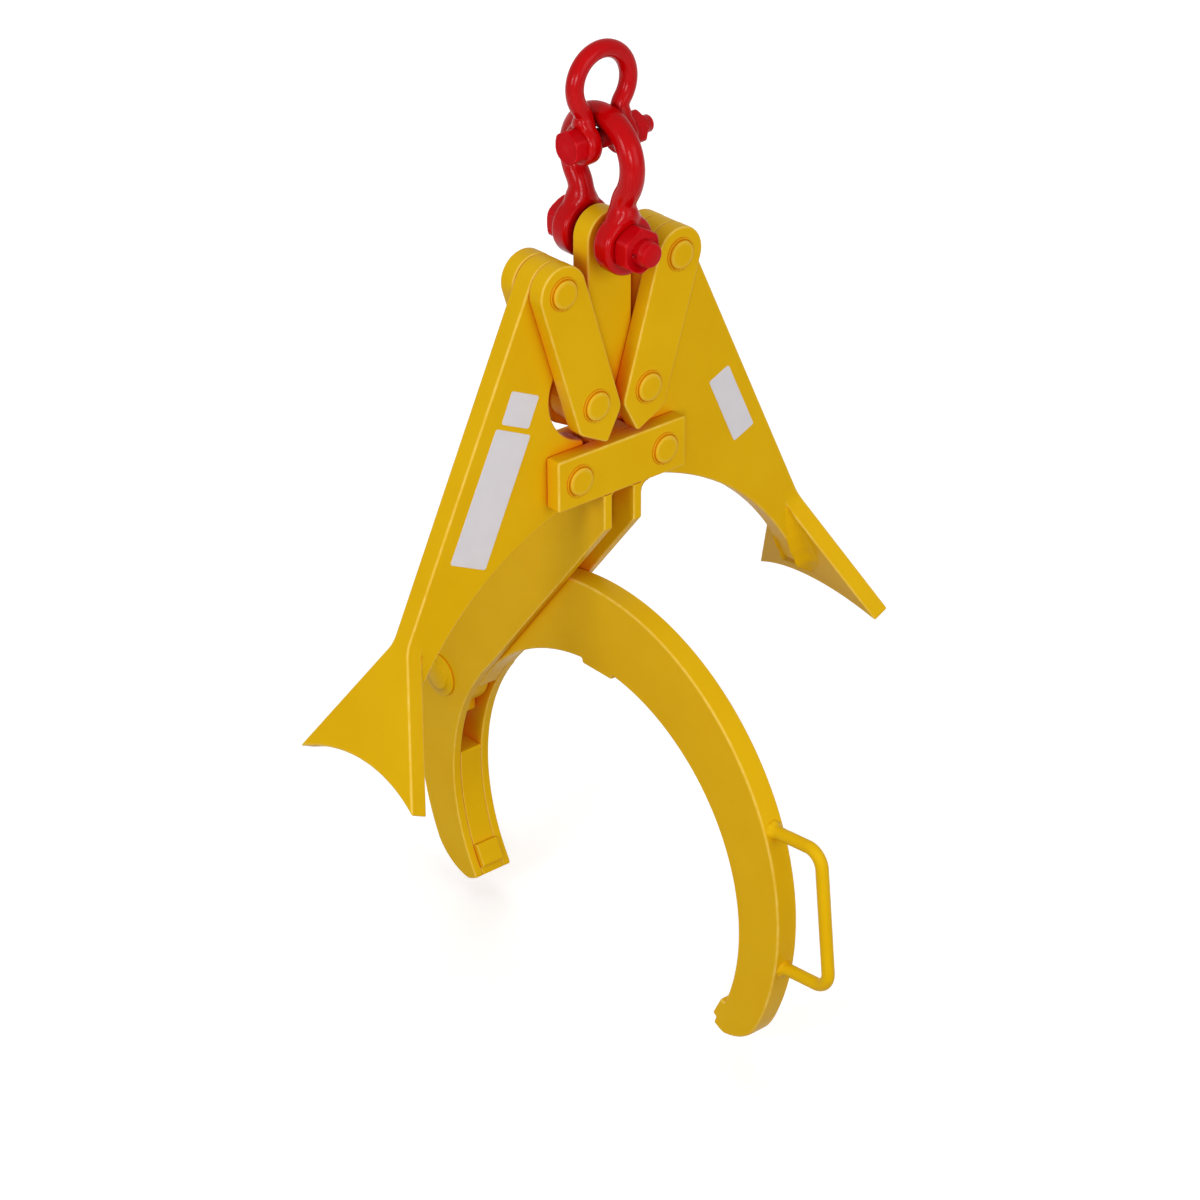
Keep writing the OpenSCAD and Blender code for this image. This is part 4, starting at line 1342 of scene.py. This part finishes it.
class PipeGrab:
    """The whole grab, built piece by piece round the CAD frame."""

    def __init__(self, studio: Studio, frame: dict) -> None:
        self.studio = studio
        self.frame = frame

    def build(self) -> None:
        """Build every assembly in order."""
        self.shackles()
        self.linkage()
        self.grab_frame()
        self.hook()

    def yellow(self, name: str, surface: Surface, body: str, *nodes: str) -> None:
        """A yellow piece of the grab."""
        self.studio.piece(name, surface, Slot.YELLOW, body, *nodes)

    def shackles(self) -> None:
        """Both bows, bolts and nuts."""
        for name, shackle in SHACKLES.items():
            body = f"{name}_shackle"
            bow = self.studio.piece(f"{name}_bow_forging", shackle.bow(), Slot.RED, body, f"{name}_bow")
            forged(bow, shackle.voxel)
            self.studio.piece(f"{name}_bolt_turned", shackle.bolt(), Slot.BOLT, body, f"{name}_bolt")
            self.studio.piece(f"{name}_nut_hexagon", shackle.nut(), Slot.BOLT, body, f"{name}_nut")

    def linkage(self) -> None:
        """Lifting plate, links, legs, saddles, labels and their pins."""
        parts, s = Linkage(), SIZE
        leg, saddle, welds = parts.leg(), parts.saddle(), parts.saddle_welds()
        bars = {place: parts.link(*span) for place, span in s.bars().items()}
        self.yellow("lifting_plate_rounded", parts.lifting_plate(), "lifter", "lifting_plate")
        for side in Side:
            word = side.name.lower()
            body, links = f"{word}_leg", f"links_{word}"
            self.yellow(f"leg_{word}_plate", leg.mirrored(side), body, f"leg_{word}")
            self.yellow(f"saddle_{word}_fan", saddle.mirrored(side), body, f"saddle_{word}")
            self.yellow(f"saddle_{word}_fillets", welds.mirrored(side), body)
            for place, bar in bars.items():
                self.yellow(f"link_{word}_{place}_bar", bar.mirrored(side), links, f"link_{word}_{place}")
            for which, (x, z) in (("top", s.top_pin), ("bottom", s.bottom_pin)):
                pin = WeldedPin().surface(side.value * x, z)
                self.yellow(f"{which}_pin_{word}_welded", pin, links, f"{which}_pin_{word}")
        bodies = ("left_leg", "left_leg", "right_leg")
        for k, (surface, body) in enumerate(zip(parts.labels(), bodies)):
            plate = self.studio.mesh(f"bare_label_{k}", surface, self.studio.label)
            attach(plate, body)

    def grab_frame(self) -> None:
        """Crossbars, cheeks, fixed jaw and their pins and welds."""
        parts, s, body = GrabFrame(), SIZE, "grab_frame"
        for place, span in s.bars().items():
            self.yellow(f"crossbar_{place}_bar", parts.crossbar(*span), body, f"crossbar_{place}")
        for side in Side:
            word = side.name.lower()
            self.yellow(f"cheek_{word}_plate", parts.cheek(side), body, f"cheek_{word}")
            pin = WeldedPin().surface(side.value * s.pivot[0], s.pivot[1])
            self.yellow(f"leg_pin_{word}_welded", pin, body, f"leg_pin_{word}")
        self.yellow("jaw_filling", parts.insert(), body, "jaw_insert")
        self.yellow("crossbar_fillets", parts.welds(), body)
        self.yellow("hook_pin_collars", Collar().surface(), body, "hook_pin")
        self.studio.keep(self.frame, Slot.YELLOW, "crossbar_block", "hook_stop")

    def hook(self) -> None:
        """Swinging hook and its handle."""
        parts = SwingHook()
        self.yellow("hook_plate", parts.body(), "swing_hook", "hook")
        self.yellow("hook_handle_rod", parts.handle(), "swing_hook", "hook_handle")


@dataclass(frozen=True)
class Lamp:
    """A soft square lamp that looks at a point."""

    name: str
    place: Triple
    size: float
    watts: float
    glossy: bool = True

    def build(self, target: Triple = (0, 0, -0.45)) -> None:
        """Put the lamp in the scene."""
        data = bpy.data.lights.new(self.name, "AREA")
        data.size, data.energy = self.size, self.watts
        lamp = bpy.data.objects.new(self.name, data)
        lamp.matrix_world = looking(np.array(self.place), np.array(target))
        lamp.visible_glossy = self.glossy
        bpy.context.scene.collection.objects.link(lamp)


def looking(place: np.ndarray, target: np.ndarray) -> Matrix:
    """World matrix of a lamp at a place that looks at a target, upright."""
    back = (place - target) / np.linalg.norm(place - target)
    right = np.cross([0, 0, 1.0], back)
    right /= np.linalg.norm(right)
    return posed(place, right, np.cross(back, right), back)


def posed(place: np.ndarray, right: np.ndarray, up: np.ndarray, back: np.ndarray) -> Matrix:
    """World matrix from a place and three directions."""
    m = np.eye(4)
    m[:3, :3] = np.stack([right, up, back], 1)
    m[:3, 3] = place
    return Matrix(m.tolist())


@dataclass(frozen=True)
class Viewpoint:
    """Camera of the photograph: its place, direction, roll and focal length."""

    place: Triple = (-2.0539, -2.3873, 1.1371)
    azimuth: float = -40.65
    elevation: float = 28.19
    roll: float = -0.21
    lens: float = 111.33
    sensor: float = 36.0

    def build(self) -> None:
        """Put the camera in the scene."""
        a, e, r = np.radians([self.azimuth, self.elevation, self.roll])
        back = np.array([np.sin(a) * np.cos(e), -np.cos(a) * np.cos(e), np.sin(e)])
        right = np.array([np.cos(a), np.sin(a), 0])
        up = np.cross(back, right)
        right, up = np.cos(r) * right + np.sin(r) * up, np.cos(r) * up - np.sin(r) * right
        data = bpy.data.cameras.new("photo_camera")
        data.lens, data.sensor_width = self.lens, self.sensor
        camera = bpy.data.objects.new("photo_camera", data)
        camera.matrix_world = posed(np.array(self.place), right, up, back)
        bpy.context.scene.collection.objects.link(camera)
        bpy.context.scene.camera = camera


@dataclass(frozen=True)
class Room:
    """Pale floor that curves up behind the grab, soft lamps and a white world."""

    floor_z: float = -0.972
    reach: float = 6.0
    bend_at: float = 3.0
    bend_r: float = 2.0
    slab: float = 0.02
    lamps: tuple[Lamp, ...] = (
        Lamp("key", (0.4, -3.4, 0.7), 2.2, 30.0),
        Lamp("fill", (-2.2, -2.4, 0.4), 0.7, 32.0),
        Lamp("left", (-3.2, -0.4, 0.5), 0.9, 26.0),
        Lamp("rear", (1.6, 2.8, 1.2), 2.0, 30.0, False),
    )
    world: float = 0.6

    def floor(self) -> Surface:
        """P(u, v): flat near the grab, rising as a quarter circle behind it, with a small thickness."""
        u = np.linspace(-self.reach, self.reach, 41)
        s = np.linspace(-self.reach, self.reach, 81)
        bend = np.clip((s - self.bend_at) / self.bend_r, 0, np.pi / 2)
        along = np.where(s < self.bend_at, s, self.bend_at + self.bend_r * np.sin(bend))
        rise = self.bend_r * (1 - np.cos(bend))
        top = np.stack(np.broadcast_arrays(u[None], along[:, None], (self.floor_z + rise)[:, None]), -1)
        loop = np.concatenate([top, (top - [0, 0, self.slab])[:, ::-1]], 1) * MM_PER_M
        loop[..., 2] += SIZE.hang_z
        return tube(loop)

    def build(self, studio: Studio) -> None:
        """Put the room in the scene."""
        studio.mesh("studio_floor", self.floor(), studio.floor)
        for lamp in self.lamps:
            lamp.build()
        world = bpy.data.worlds.new("studio")
        bpy.context.scene.world = world
        world.use_nodes = True
        tree = world.node_tree
        path = add_node(tree, "ShaderNodeLightPath").outputs
        seen = combine(tree, "MAXIMUM", path["Is Camera Ray"], path["Is Transmission Ray"])
        sky = tree.nodes["Background"]
        fill(tree, sky, {"Strength": remap(tree, seen, target=(self.world, 1.0)), "Color": (1, 1, 1, 1)})


def main() -> None:
    """Build the scene round the CAD frame."""
    logging.basicConfig(level=logging.INFO, format="%(name)s: %(message)s")
    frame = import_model()
    studio = Studio()
    PipeGrab(studio, frame).build()
    Room().build(studio)
    Viewpoint().build()
    bpy.context.scene.view_settings.view_transform = "Standard"


if __name__ == "__main__":
    main()
